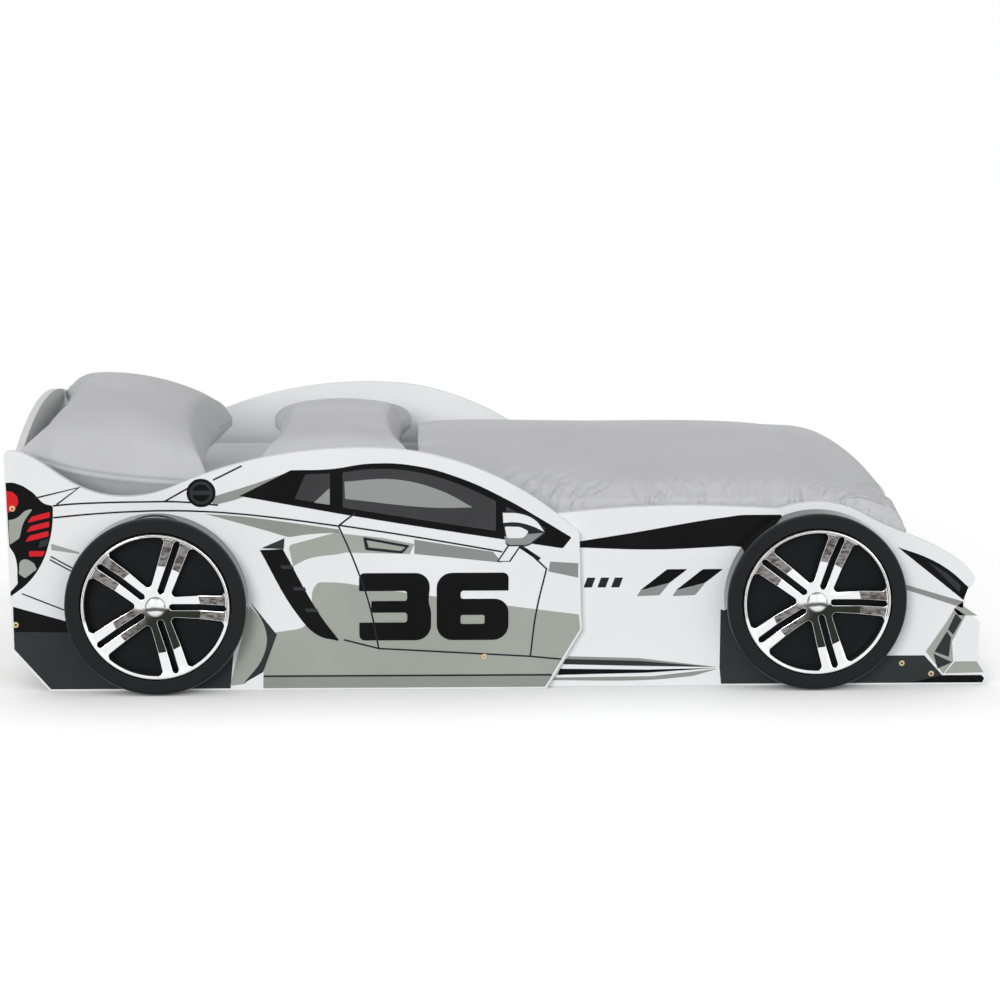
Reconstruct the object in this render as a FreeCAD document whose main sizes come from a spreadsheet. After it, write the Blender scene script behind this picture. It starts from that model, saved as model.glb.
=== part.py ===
import FreeCAD, Part
import Sketcher

import math
import os

# A child's bed in the shape of a low sports car: two board sides cut to the car's outline with
# plastic wheel covers, an arched headboard, a slatted base, a mattress, two pillows and a duvet.
# Millimetres. X runs to the car's nose, Z up, Y to the car's left. The floor is Z = 0, and the
# origin is under the middle of the bed.

os.makedirs("parts", exist_ok=True)

# ---------------------------------------------------------------- sizes

SIZES = {
    # mattress, and the room round it
    "mattress_long": 1900,
    "mattress_wide": 900,
    "mattress_thick": 140,
    "mattress_corner": 45,
    "mattress_edge": 18,
    "end_play": 15.7,
    "side_play": 10,
    "rest_gap": 0.3,
    "board_thick": 16,
    # how far the sides reach past the middle planes of the headboard and the footboard
    "tail_reach": 15.5,
    "nose_reach": 189.8,
    # headboard, footboard and the boards between the sides
    "head_low": 95,
    "head_shoulder": 478,
    "head_crown": 578,
    "foot_low": 8,
    "foot_top": 326,
    "door_setback": 712.2,
    "beam_setback": 204.7,
    "beam_high": 100,
    "tie_ahead": 65.4,
    "tie_high": 44,
    # slatted base
    "rail_wide": 30,
    "rail_high": 30,
    "rail_top": 232,
    "slat_count": 12,
    "slat_wide": 68,
    "slat_thick": 12,
    "slat_clear": 5,
    "lining_top": 300,
    "chamfer_long": 78,
    "chamfer_high": 91,
    # bolts: heights of their axes, and their own sizes
    "bolt_head_high": 405.4,
    "bolt_head_low": 148.9,
    "bolt_beam": 72.8,
    "bolt_foot": 48.8,
    "bolt_tie": 24.8,
    "bolt_shank": 6.8,
    "bolt_bore": 7,
    "bolt_cap": 13,
    "bolt_cap_thick": 2.2,
    "bolt_bite": 32,
    "bolt_socket": 5,
    # wheel covers
    "wheel_radius": 197,
    "wheel_thick": 45,
    "wheel_draft": 1.5,
    "wheel_shoulder": 7,
    "wheel_skin": 2.5,
    "rear_wheel_from_head": 306.4,
    "front_wheel_from_foot": 196.7,
    "arch_gap": 16,
    "dish_radius": 163,
    "dish_draft": 1.5,
    "dish_lip": 2,
    "flange_depth": 14,
    "flange_wide": 11,
    "plate_thick": 2.5,
    "plate_boss": 20,
    "trim_clear": 0.6,
    "trim_skirt": 3,
    "trim_proud": 1.5,
    "trim_thick": 4,
    "trim_valley": 12,
    "valley_share": 0.55,
    "spoke_count": 5,
    "spoke_turn": -1.5,
    "spoke_pair_outer": 57,
    "spoke_pair_inner": 44,
    "spoke_slot": 14,
    "window_round": 9,
    "rim_wide": 9,
    "hub_radius": 30,
    "hub_boss": 16,
    "cap_radius": 22,
    "cap_high": 9,
    # corner brackets
    "bracket_leg": 40,
    "bracket_high": 30,
    "bracket_thick": 2,
    "bracket_bore": 5,
    "bracket_low": 140,
    # bedding
    "duvet_long": 1092,
    "duvet_overhang": 24,
    "duvet_clear": 3,
    "duvet_side": 410,
    "duvet_crown": 490,
    "pillow_long": 665,
    "pillow_deep": 408,
    "pillow_up": 108,
    "pillow_down": 104,
    "pillow_tilt": 11.5,
    "pillow_lean": 2.2,
    "pillow_from_side": 50,
    "cushion_long": 620,
    "cushion_deep": 345,
    "cushion_up": 78,
    "cushion_down": 56,
    "cushion_from_side": 28,
    "bedding_clear": 6,
    "seam_lip": 5,
    "roll_inset": 0.45,
    "roll_share": 0.76,
}

# Sizes that follow from the others, in the order in which the sheet works them out.
FOLLOWERS = {
    "head_x": "tail_reach - (tail_reach + mattress_long + end_play + board_thick + nose_reach) / 2",
    "head_front": "head_x + board_thick / 2",
    "foot_back": "head_front + mattress_long + end_play",
    "foot_x": "foot_back + board_thick / 2",
    "tie_x": "foot_x + tie_ahead",
    "door_x": "foot_x - door_setback",
    "beam_x": "door_x - beam_setback",
    "beam_low": "bolt_beam - beam_high / 2",
    "tie_low": "bolt_tie - tie_high / 2",
    "inner_half": "mattress_wide / 2 + side_play",
    "middle_half": "inner_half + board_thick",
    "outer_half": "middle_half + board_thick",
    "rail_low": "rail_top - rail_high",
    "base_long": "foot_back - head_front",
    "slat_pitch": "base_long / slat_count",
    "mattress_low": "rail_top + slat_thick + rest_gap",
    "mattress_top": "mattress_low + mattress_thick",
    "bedding_low": "mattress_top + rest_gap",
    "rear_wheel_x": "head_x + rear_wheel_from_head",
    "front_wheel_x": "foot_x - front_wheel_from_foot",
    "arch_radius": "wheel_radius + arch_gap",
    "duvet_end": "foot_x + duvet_overhang",
}

V = FreeCAD.Vector
UP = V(0, 0, 1)

doc = FreeCAD.newDocument("car_bed")
sheet = doc.addObject("Spreadsheet::Sheet", "Sizes")
for row, (alias, number) in enumerate(SIZES.items(), start=1):
    sheet.set(f"A{row}", alias)
    sheet.set(f"B{row}", str(number))
    sheet.setAlias(f"B{row}", alias)
for row, (alias, formula) in enumerate(FOLLOWERS.items(), start=len(SIZES) + 1):
    sheet.set(f"A{row}", alias)
    sheet.set(f"B{row}", "=" + formula)
    sheet.setAlias(f"B{row}", alias)
doc.recompute()

nodes = []


def size(alias):
    """The value of one cell of the sheet."""
    return float(getattr(sheet, alias))


def bind(thing, **formulas):
    """Tie properties of an object to formulas of the sheet's cells."""
    for name, formula in formulas.items():
        words = [f"Sizes.{word}" if word in SIZES or word in FOLLOWERS else word for word in formula.split()]
        thing.setExpression(name.replace("__", "."), " ".join(words))


def place(thing, x="0", y="0", z="0"):
    """Tie an object's place to the sheet."""
    bind(thing, Placement__Base__x=x, Placement__Base__y=y, Placement__Base__z=z)


def keep(label, thing):
    """Name a finished sub-part and list it for export."""
    thing.Label = label
    nodes.append(thing)
    return thing


def box(label, long, wide, high, x, y, z):
    """A plain board or batten, set by its low corner."""
    board = doc.addObject("Part::Box", label)
    bind(board, Length=long, Width=wide, Height=high)
    place(board, x, y, z)
    return board


# ---------------------------------------------------------------- sketches and features


def new_body(label):
    """A body of its own for one sub-part."""
    return keep(label, doc.addObject("PartDesign::Body", label))


def plane_sketch(body, role, offset="0"):
    """A sketch on one of a body's own origin planes, moved along the plane's normal."""
    sketch = body.newObject("Sketcher::SketchObject", body.Name + "_sketch")
    plane = next(part for part in body.Origin.OriginFeatures if part.Role == role)
    sketch.AttachmentSupport = [(plane, "")]
    sketch.MapMode = "FlatFace"
    bind(sketch, AttachmentOffset__Base__z=offset)
    return sketch


def draw(sketch, start, *moves):
    """A closed chain. A move of one point is a straight side, of two an arc, of more a smooth curve."""
    here = V(*start)
    for move in moves:
        points = [here] + [V(*point) for point in move]
        if len(points) == 2:
            sketch.addGeometry(Part.LineSegment(*points))
        elif len(points) == 3:
            sketch.addGeometry(Part.Arc(*points))
        else:
            curve = Part.BSplineCurve()
            curve.interpolate(points)
            sketch.addGeometry(curve)
        here = points[-1]


def circle(sketch, x, y, diameter):
    """A circle whose diameter stays tied to the sheet."""
    edge = sketch.addGeometry(Part.Circle(V(x, y), UP, size(diameter) / 2))
    sketch.addConstraint(Sketcher.Constraint("Diameter", edge, size(diameter)))
    bind(sketch, **{f"Constraints[{sketch.ConstraintCount - 1}]": diameter})


def feature(body, kind, sketch, **properties):
    """Add a feature that works from a sketch."""
    made = body.newObject("PartDesign::" + kind, f"{body.Name}_{kind}".lower())
    made.Profile = sketch
    for name, setting in properties.items():
        setattr(made, name, setting)
    return made


def pad(body, sketch, thick, midplane=False):
    """Give a sketch its thickness."""
    made = feature(body, "Pad", sketch, Midplane=midplane)
    bind(made, Length=thick)
    return made


def bore(body, offset, reverse, depth, holes):
    """Drill round holes along Y from a plane across the body. A hole is its place and its diameter."""
    sketch = plane_sketch(body, "XZ_Plane", offset)
    for x, z, diameter in holes:
        circle(sketch, x, z, diameter)
    made = feature(body, "Pocket", sketch, Reversed=reverse)
    bind(made, Length=depth)
    return made


def turn(body, start, *moves):
    """Revolve a section about the body's Y axis. The section's x is a radius, its y a height."""
    sketch = plane_sketch(body, "XY_Plane")
    draw(sketch, start, *moves)
    return feature(body, "Revolution", sketch, ReferenceAxis=(sketch, ["V_Axis"]), Angle=360)


def polar(radius, degrees):
    """A point of a sketch given by its radius and its angle."""
    return radius * math.cos(math.radians(degrees)), radius * math.sin(math.radians(degrees))


# ---------------------------------------------------------------- side boards

# The sides' outlines. Each part of an outline is measured along X from what it belongs to: the
# headboard's plane, the door board's front tip or the footboard's plane. Heights are from the floor.
TAIL_TOP = ((13, 530), (69, 501), (113, 470), (178, 439), (243, 430), (309, 439), (379, 466), (484, 501))
ROOF = ((-604.5, 526), (-474.5, 534.5), (-365.5, 528), (-234.5, 494), (-103.5, 429), (0, 347))
DOOR_EDGE = ((5.5, 160), (7.5, 133), (-69, 0))
HOOD = ((-744.7, 388), (-612.7, 399), (-481.7, 403), (-350.7, 399))
ARCH_START, ARCH_TOP, ARCH_END = 111.6, 86, 59.6
BONNET = ((-35.7, 354), (-8.7, 343), (37.3, 325), (95.3, 295), (146.3, 254), (154.8, 238))
LIP = ((151, 226), (141, 216))
MOUTH_TOP = ((135.5, 207), (134.5, 196))
MOUTH_LOW = ((137.5, 163), (150, 156))
SPLITTER = ((169.5, 139), (166.3, 66), (189.8, 28), (189.8, 20), (182, 0))
MOUTH_FOOT = (134.5, 176)
REAR_EDGE = ((-8, 91), (-15.5, 450), (-15.5, 520))
TAIL_CORNER = ((-12.6, 527.1), (-5.5, 530))
LAP_STEP = 40


def shifted(points, x):
    """Outline points moved along X to their datum."""
    return [(x + dx, z) for dx, z in points]


def side_bolts(*places):
    """Holes for bolt shanks through a side board."""
    return [(size(x), size(z), "bolt_bore") for x, z in places]


def rear_side(label, face):
    """The outer board from the tail to the door's front edge, with its face at the given Y."""
    head, door = size("head_x"), size("door_x")
    body = new_body(label)
    place(body, y=face)
    sketch = plane_sketch(body, "XZ_Plane")
    edge = shifted(REAR_EDGE, head)
    roof = shifted(TAIL_TOP, head) + shifted(ROOF, door)
    front = shifted(DOOR_EDGE, door)
    low = (edge[0][0] + size("chamfer_long"), 0)
    corner = shifted(TAIL_CORNER, head)
    sides = [[point] for point in edge[1:]]
    draw(sketch, edge[0], *sides, corner, [roof[0]], roof[1:], *[[point] for point in front], [low], [edge[0]])
    pad(body, sketch, "board_thick")
    doc.recompute()
    places = ("head_x", "bolt_head_high"), ("head_x", "bolt_head_low"), ("beam_x", "bolt_beam")
    bore(body, "board_thick", False, "board_thick", side_bolts(*places))


def front_side(label, face):
    """The inner board: the front wing with its wheel arch and nose, and the low lining strip
    that runs back behind the door board to the headboard."""
    head, door, foot = size("head_front"), size("door_x"), size("foot_x")
    wheel_x, wheel_z, arch = size("front_wheel_x"), size("wheel_radius"), size("arch_radius")
    body = new_body(label)
    place(body, y=face)
    sketch = plane_sketch(body, "XZ_Plane")
    rim = [polar(arch, angle) for angle in (ARCH_START, ARCH_TOP, ARCH_END)]
    rim = [(wheel_x + x, wheel_z + z) for x, z in rim]
    hood = shifted(HOOD, foot)
    strip = size("lining_top")
    lap = door - size("beam_setback") - LAP_STEP / 2
    draw(
        sketch,
        (head, size("chamfer_high")),
        [(head, strip)],
        [(lap - LAP_STEP, strip)],
        [(lap, strip + 2 * LAP_STEP)],
        [hood[0]],
        hood[1:] + [rim[0]],
        rim[1:],
        shifted(BONNET, foot),
        shifted(LIP, foot),
        shifted(MOUTH_TOP, foot),
        shifted([MOUTH_FOOT], foot),
        shifted(MOUTH_LOW, foot),
        *[[point] for point in shifted(SPLITTER, foot)],
        [(head + size("chamfer_long"), 0)],
        [(head, size("chamfer_high"))],
    )
    pad(body, sketch, "board_thick")
    doc.recompute()
    places = ("beam_x", "bolt_beam"), ("foot_x", "bolt_foot"), ("tie_x", "bolt_tie")
    bore(body, "board_thick", False, "board_thick", side_bolts(*places))


# ---------------------------------------------------------------- boards between the sides


def cross_board(label, x, half, outline, bolts):
    """A board across the bed, with a blind bore in each end for every bolt."""
    body = new_body(label)
    place(body, x=x)
    sketch = plane_sketch(body, "YZ_Plane")
    draw(sketch, *outline)
    pad(body, sketch, "board_thick", midplane=True)
    doc.recompute()
    holes = [(0, size(bolt), "bolt_bore") for bolt in bolts]
    bore(body, half, False, "bolt_bite + rest_gap", holes)
    bore(body, "0 - " + half, True, "bolt_bite + rest_gap", holes)


def plain_outline(half, low, high):
    """A rectangle across the bed."""
    corners = [(-half, low), (-half, high), (half, high), (half, low)]
    return [corners[0]] + [[point] for point in corners[1:]] + [[corners[0]]]


def arched_outline(half, low, shoulder, crown):
    """A rectangle with an arched top."""
    return [(-half, low), [(-half, shoulder)], [(0, crown), (half, shoulder)], [(half, low)], [(-half, low)]]


def cross_boards():
    """Headboard, footboard, the beam under the middle and the tie behind the nose."""
    wide, narrow = size("middle_half"), size("inner_half")
    arch = arched_outline(wide, size("head_low"), size("head_shoulder"), size("head_crown"))
    cross_board("headboard", "head_x", "middle_half", arch, ("bolt_head_high", "bolt_head_low"))
    foot = plain_outline(narrow, size("foot_low"), size("foot_top"))
    cross_board("footboard", "foot_x", "inner_half", foot, ("bolt_foot",))
    beam = plain_outline(narrow, size("beam_low"), size("beam_low") + size("beam_high"))
    cross_board("middle_beam", "beam_x", "inner_half", beam, ("bolt_beam",))
    tie = plain_outline(narrow, size("tie_low"), size("tie_low") + size("tie_high"))
    cross_board("nose_tie", "tie_x", "inner_half", tie, ("bolt_tie",))


def slatted_base():
    """Rails along the sides, a board on edge along the middle, and the slats on top of them."""
    keep("rail_right", box("rail_right", "base_long", "rail_wide", "rail_high",
                           "head_front", "0 - inner_half", "rail_low"))
    keep("rail_left", box("rail_left", "base_long", "rail_wide", "rail_high",
                          "head_front", "inner_half - rail_wide", "rail_low"))
    keep("middle_rail", box("middle_rail", "base_long", "board_thick", "rail_top - beam_low - beam_high",
                            "head_front", "0 - board_thick / 2", "beam_low + beam_high"))
    for number in range(int(size("slat_count"))):
        label = f"slat_{number + 1:02d}"
        middle = f"head_front + slat_pitch * {number + 0.5}"
        keep(label, box(label, "slat_wide", "2 * ( inner_half - slat_clear )", "slat_thick",
                        f"{middle} - slat_wide / 2", "slat_clear - inner_half", "rail_top"))


def bracket(label, x, side, end):
    """An angle bracket in an upright corner. Its legs run along X towards the bed's middle and along Y."""
    leg, thick = size("bracket_leg"), size("bracket_thick")
    body = new_body(label)
    place(body, x, f"{side} * inner_half", "bracket_low")
    sketch = plane_sketch(body, "XY_Plane")
    legs = (leg, 0), (leg, thick), (thick, thick), (thick, leg), (0, leg)
    points = [(-end * x_leg, -side * y_leg) for x_leg, y_leg in legs]
    draw(sketch, (0, 0), *[[point] for point in points], [(0, 0)])
    pad(body, sketch, "bracket_high")
    doc.recompute()
    holes = [(-end * (leg + thick) / 2, size("bracket_high") / 2, "bracket_bore")]
    bore(body, f"{side} * bracket_thick", side < 0, "bracket_thick", holes)


# ---------------------------------------------------------------- bolts


def bolt(label, x, face, side, z, boards):
    """A connecting bolt with a flat cap and a hexagon socket, through one or two side boards."""
    shank, cap, thick = size("bolt_shank") / 2, size("bolt_cap") / 2, size("bolt_cap_thick")
    depth = boards * size("board_thick") + size("bolt_bite")
    body = new_body(label)
    place(body, x, f"{side} * {face}", z)
    body.Placement.Rotation = FreeCAD.Rotation(UP, 90 + side * 90)
    lip = thick / 4
    section = (shank, depth), (shank, 0), (cap, 0), (cap, lip - thick), (cap - lip, -thick), (0, -thick)
    turn(body, (0, depth), *[[point] for point in section], [(0, depth)])
    doc.recompute()
    sketch = plane_sketch(body, "XZ_Plane", "bolt_cap_thick")
    corners = [polar(size("bolt_socket") / math.sqrt(3), 60 * number) for number in range(7)]
    draw(sketch, corners[0], *[[point] for point in corners[1:]])
    socket = feature(body, "Pocket", sketch)
    bind(socket, Length="bolt_cap_thick * 1.5")


# ---------------------------------------------------------------- wheel covers


def wheel_body(label, x, face, side):
    """A body that looks outwards from a side board at the height of the wheels' axes."""
    body = new_body(label)
    place(body, x, f"{side} * {face}", "wheel_radius")
    body.Placement.Rotation = FreeCAD.Rotation(UP, 90 + side * 90)
    return body


def tyre(label, x, face, side):
    """The wheel cover's outer shell: a tapered wall, a rounded shoulder, a flat face, and a dish
    whose inner flange carries the plate behind the spokes."""
    radius, thick, skin = size("wheel_radius"), size("wheel_thick"), size("wheel_skin")
    shoulder, dish, flange = size("wheel_shoulder"), size("dish_radius"), size("flange_depth")
    front = radius - size("wheel_draft")
    lip = size("dish_lip")
    slope = size("dish_draft")
    bend = math.sqrt(0.5)
    inner = dish - slope - size("flange_wide")
    body = wheel_body(label, x, face, side)
    turn(
        body,
        (radius, 0),
        [(front, shoulder - thick)],
        [(front - shoulder * (1 - bend), shoulder - thick - shoulder * bend), (front - shoulder, -thick)],
        [(dish + lip, -thick)],
        [(dish, lip - thick)],
        [(dish - slope, -flange)],
        [(inner, -flange)],
        [(inner, skin - flange)],
        [(dish - slope + skin, skin - flange)],
        [(dish + lip + skin * (1 - bend), skin - thick)],
        [(front - shoulder, skin - thick)],
        [(radius - skin, 0)],
        [(radius, 0)],
    )


def plate(label, x, face, side):
    """The dark plate behind the spokes, with the boss that screws to the side board."""
    edge = size("dish_radius") - size("dish_draft") - size("trim_clear")
    boss, back = size("plate_boss"), size("flange_depth")
    front = back + size("plate_thick")
    body = wheel_body(label, x, face, side)
    section = (boss, 0), (boss, -back), (edge, -back), (edge, -front), (0, -front)
    turn(body, (0, 0), *[[point] for point in section], [(0, 0)])


def trim_surface():
    """The spokes' face from the hub out to the rim: down into a soft valley and up again."""
    hub, rim, valley = size("hub_radius"), rim_inner(), size("trim_valley")
    top = size("wheel_thick") + size("trim_proud")
    lowest = hub + size("valley_share") * (rim - hub)
    return [(hub, valley / 2 - top), (lowest, valley - top), (rim, valley / 4 - top)]


def rim_outer():
    """The trim's outer radius, clear of the tapered dish round it."""
    return size("dish_radius") - size("dish_draft") - size("trim_clear")


def rim_inner():
    """The inner radius of the trim's rim."""
    return rim_outer() - size("rim_wide")


def trim(label, x, face, side):
    """The bright wheel trim: a rim with a skirt, five pairs of spokes over a soft valley, and a hub."""
    outer, inner, skirt, thick = rim_outer(), rim_inner(), size("trim_skirt"), size("trim_thick")
    top = size("wheel_thick") + size("trim_proud")
    floor = size("flange_depth") + size("plate_thick")
    boss = size("hub_boss")
    face_line = trim_surface()
    back = size("trim_valley") + thick - top
    body = wheel_body(label, x, face, side)
    turn(
        body,
        (0, -floor),
        [(boss, -floor)],
        [(boss, back)],
        [(outer - skirt, back)],
        [(outer - skirt, -floor)],
        [(outer, -floor)],
        [(outer, skirt - top)],
        [(outer - skirt, -top)],
        [(inner + skirt, -top)],
        *[[point] for point in reversed(face_line)],
        [(0, face_line[0][1])],
        [(0, -floor)],
    )
    doc.recompute()
    sketch = plane_sketch(body, "XZ_Plane")
    step = 360 / size("spoke_count")
    for number in range(int(size("spoke_count"))):
        pair = size("spoke_turn") + number * step
        draw_slot(sketch, pair)
        draw_window(sketch, pair + step / 2, step / 2)
    feature(body, "Pocket", sketch, Type="ThroughAll", Midplane=True)


def spun(angle, *points):
    """Sketch points turned about the sketch's origin."""
    turn_x, turn_y = polar(1, angle)
    return [(x * turn_x - y * turn_y, x * turn_y + y * turn_x) for x, y in points]


def draw_window(sketch, angle, half_step):
    """The opening between two pairs of spokes: a triangle with rounded corners, its point inwards.
    Its straight sides run along the spokes, which spread a little towards the rim."""
    radius, bend = rim_inner(), size("window_round")
    wide, narrow = size("spoke_pair_outer") / 2, size("spoke_pair_inner") / 2
    spread = math.atan((wide - narrow) / (radius - size("hub_radius")))
    lean = math.radians(half_step) - spread
    offset = narrow * math.cos(spread) - size("hub_radius") * math.sin(spread)
    apex = offset / math.sin(lean)
    # the point's round: where it leaves the side, and its tip
    touch = bend / math.tan(lean)
    start = apex + touch * math.cos(lean), touch * math.sin(lean)
    tip = apex + bend / math.sin(lean) - bend, 0
    # the corner's round by the rim: its middle lies one bend in from the side and from the rim
    swing = lean - math.asin((offset + bend) / (radius - bend))
    middle = polar(radius - bend, math.degrees(swing))
    low = middle[0] - bend * math.sin(lean), middle[1] + bend * math.cos(lean)
    out = polar(radius, math.degrees(swing))
    halfway = (lean + math.pi / 2 + swing) / 2
    knee = middle[0] + bend * math.cos(halfway), middle[1] + bend * math.sin(halfway)
    upper = [start, low, knee, out]
    lower = [(x, -y) for x, y in upper]
    ends = spun(angle, tip, (radius, 0))
    start, low, knee, out = spun(angle, *upper)
    start_under, low_under, knee_under, out_under = spun(angle, *lower)
    draw(
        sketch,
        start_under,
        [ends[0], start],
        [low],
        [knee, out],
        [ends[1], out_under],
        [knee_under, low_under],
        [start_under],
    )


def draw_slot(sketch, angle):
    """The narrow slot between the two spokes of a pair, with round ends."""
    half = size("spoke_slot") / 2
    near, far = size("hub_radius") + half, rim_inner() - half
    corners = spun(angle, (near, half), (near - half, 0), (near, -half), (far, -half), (far + half, 0), (far, half))
    draw(sketch, corners[0], corners[1:3], [corners[3]], corners[4:6], [corners[0]])


def cap(label, x, face, side):
    """The domed cap over the hub."""
    radius, high = size("cap_radius"), size("cap_high")
    seat = -trim_surface()[0][1]
    body = wheel_body(label, x, face, side)
    edge = high / 4
    sphere = (radius ** 2 + (high - edge) ** 2) / 2 / (high - edge)
    half_angle = math.asin(radius / sphere) / 2
    middle = sphere * math.sin(half_angle), sphere * (1 - math.cos(half_angle)) - seat - high
    dome = [middle, (0, -seat - high)]
    turn(body, (0, -seat), [(radius, -seat)], [(radius, -seat - edge)], dome, [(0, -seat)])


# ---------------------------------------------------------------- bedding


def mattress():
    """A foam block with rounded corners and edges."""
    block = box("mattress_block", "mattress_long", "mattress_wide", "mattress_thick",
                "head_front + end_play / 2", "0 - mattress_wide / 2", "mattress_low")
    doc.recompute()
    upright = [number for number, edge in enumerate(block.Shape.Edges, start=1)
               if abs(edge.tangentAt(edge.FirstParameter).z) > 0.5]
    corners = doc.addObject("Part::Fillet", "mattress_corners")
    corners.Base = block
    corners.Edges = [(number, size("mattress_corner"), size("mattress_corner")) for number in upright]
    doc.recompute()
    level = [number for number, edge in enumerate(corners.Shape.Edges, start=1)
             if abs(edge.tangentAt(edge.FirstParameter).z) < 0.5]
    edges = keep("mattress", doc.addObject("Part::Fillet", "mattress"))
    edges.Base = corners
    edges.Edges = [(number, size("mattress_edge"), size("mattress_edge")) for number in level]


def bulge(x, half, high):
    """One face of a cushion's section: a crown between two slopes that rise from the seam."""
    inset, shoulder = size("roll_inset") * high, size("roll_share") * high
    side = V(x, -half, 0), V(x, inset - half, shoulder)
    far = V(x, half - inset, shoulder), V(x, half, 0)
    crown = Part.Arc(side[1], V(x, 0, high), far[0]).toShape()
    return [Part.makeLine(*side), crown, Part.makeLine(*far)]


def lens(x, half, up, down):
    """A cushion's section across its length: a crown and an underside that meet at the seam."""
    over = bulge(x, half, up)
    under = [edge.mirror(V(), UP) for edge in reversed(bulge(x, half, down))]
    return Part.Wire(over + under)


def cushion(label, long, deep, up, down):
    """A filled cushion: full in the middle, with drawn-in sides and flat pointed corners.
    Its length lies along X and its seam in Z = 0."""
    stations = (0, 0.14, 0.45, 1, 1.55, 1.86, 2)
    lip = size("seam_lip")
    wires = []
    for station in stations:
        reach = abs(station - 1)
        full = math.sqrt(1 - reach ** 3)
        half = size(deep) / 2 * (0.93 + 0.07 * reach ** 2)
        x = (station - 1) * size(long) / 2
        wires.append(lens(x, half, lip + (size(up) - lip) * full, lip + (size(down) - lip) * full))
    return Part.makeLoft(wires, True, False)


def settle(label, shape, x, y, z):
    """Put a soft solid where its low corner comes at the given point."""
    bounds = shape.optimalBoundingBox(True, False)
    thing = keep(label, doc.addObject("Part::Feature", label))
    thing.Shape = shape
    thing.Placement = FreeCAD.Placement(V(x - bounds.XMin, y - bounds.YMin, z - bounds.ZMin), FreeCAD.Rotation())
    return thing


def pillows():
    """The large pillow against the headboard, and the small one at the far side before the duvet."""
    across = FreeCAD.Rotation(UP, 90)
    tilt = FreeCAD.Rotation(V(0, 1, 0), size("pillow_tilt")).multiply(FreeCAD.Rotation(V(1, 0, 0), size("pillow_lean")))
    large = cushion("pillow_head", "pillow_long", "pillow_deep", "pillow_up", "pillow_down")
    large = large.transformed(tilt.multiply(across).toMatrix(), copy=True)
    clear, low = size("bedding_clear"), size("bedding_low")
    side = -size("middle_half") + size("pillow_from_side")
    settle("pillow_head", large, size("head_front") + clear / 2, side, low)
    small = cushion("pillow_side", "cushion_long", "cushion_deep", "cushion_up", "cushion_down")
    small = small.transformed(across.toMatrix(), copy=True)
    duvet_start = size("duvet_end") - size("duvet_long")
    x = duvet_start - clear - small.BoundBox.XLength
    y = size("inner_half") - size("cushion_from_side") - small.BoundBox.YLength
    settle("pillow_side", small, x, y, low)


def duvet():
    """The duvet over the front half of the mattress: crowned across the bed, hanging down both
    sides of the mattress, and sinking to the foot, where it covers the footboard's top."""
    end, low = size("duvet_end"), size("foot_top") + size("rest_gap")
    start = end - size("duvet_long")
    half = size("inner_half") - size("duvet_clear")
    side, crown = size("duvet_side"), size("duvet_crown")
    wires = []
    for share in (0, 0.28, 0.56, 0.76, 0.9, 0.97, 1):
        x = start + share * (end - start)
        shoulder = low + (side - low) * (1 - 0.86 * share ** 14)
        top = shoulder + (crown - side) * (1 - 0.8 * share ** 8)
        corners = V(x, -half, low), V(x, -half, shoulder), V(x, half, shoulder), V(x, half, low)
        arch = Part.Arc(corners[1], V(x, 0, top), corners[2]).toShape()
        walls = [Part.makeLine(corners[0], corners[1]), arch, Part.makeLine(corners[2], corners[3])]
        wires.append(Part.Wire(walls + [Part.makeLine(corners[3], corners[0])]))
    cover = Part.makeLoft(wires, True, False)
    room = size("foot_back") - size("end_play") / 2 + size("rest_gap") - start
    inside = size("mattress_wide") / 2 + size("rest_gap")
    rest = Part.makeBox(room + 1, 2 * inside, size("bedding_low") - low + 1, V(start - 1, -inside, low - 1))
    thing = keep("duvet", doc.addObject("Part::Feature", "duvet"))
    thing.Shape = cover.cut(rest)


# ---------------------------------------------------------------- the bed

for hand, side in (("right", -1), ("left", 1)):
    # a sketch on the XZ plane is padded towards -Y, so each board hangs from its +Y face
    outer = "0 - middle_half" if side < 0 else "outer_half"
    inner = "0 - inner_half" if side < 0 else "middle_half"
    rear_side(f"side_rear_{hand}", outer)
    front_side(f"side_front_{hand}", inner)
cross_boards()
slatted_base()
for hand, side in (("right", -1), ("left", 1)):
    bracket(f"bracket_head_{hand}", "head_front", side, -1)
    bracket(f"bracket_foot_{hand}", "foot_back", side, 1)
    bolt(f"bolt_head_high_{hand}", "head_x", "outer_half", side, "bolt_head_high", 1)
    bolt(f"bolt_head_low_{hand}", "head_x", "outer_half", side, "bolt_head_low", 1)
    bolt(f"bolt_beam_{hand}", "beam_x", "outer_half", side, "bolt_beam", 2)
    bolt(f"bolt_foot_{hand}", "foot_x", "middle_half", side, "bolt_foot", 1)
    bolt(f"bolt_tie_{hand}", "tie_x", "middle_half", side, "bolt_tie", 1)
    for end, x, face in (("rear", "rear_wheel_x", "outer_half"), ("front", "front_wheel_x", "middle_half")):
        tyre(f"tyre_{end}_{hand}", x, face, side)
        plate(f"wheel_plate_{end}_{hand}", x, face, side)
        trim(f"wheel_trim_{end}_{hand}", x, face, side)
        cap(f"wheel_cap_{end}_{hand}", x, face, side)
mattress()
pillows()
duvet()

# ---------------------------------------------------------------- checks and export

doc.recompute()
for thing in doc.Objects:
    if "Invalid" in thing.State or "Error" in thing.State:
        raise RuntimeError(f"{thing.Label} failed: {thing.State}")
for thing in nodes:
    if thing.Shape.isNull() or not thing.Shape.isValid() or len(thing.Shape.Solids) != 1:
        raise RuntimeError(f"{thing.Label} is not one valid solid")
for thing in nodes:
    thing.Shape.exportStep(f"parts/{thing.Label}.step")
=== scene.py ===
"""A child's car bed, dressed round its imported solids: printed sides, wheels, timber and bedding.

Metres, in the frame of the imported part: X runs to the nose, Z up, and Y to the car's left.
"""

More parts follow.
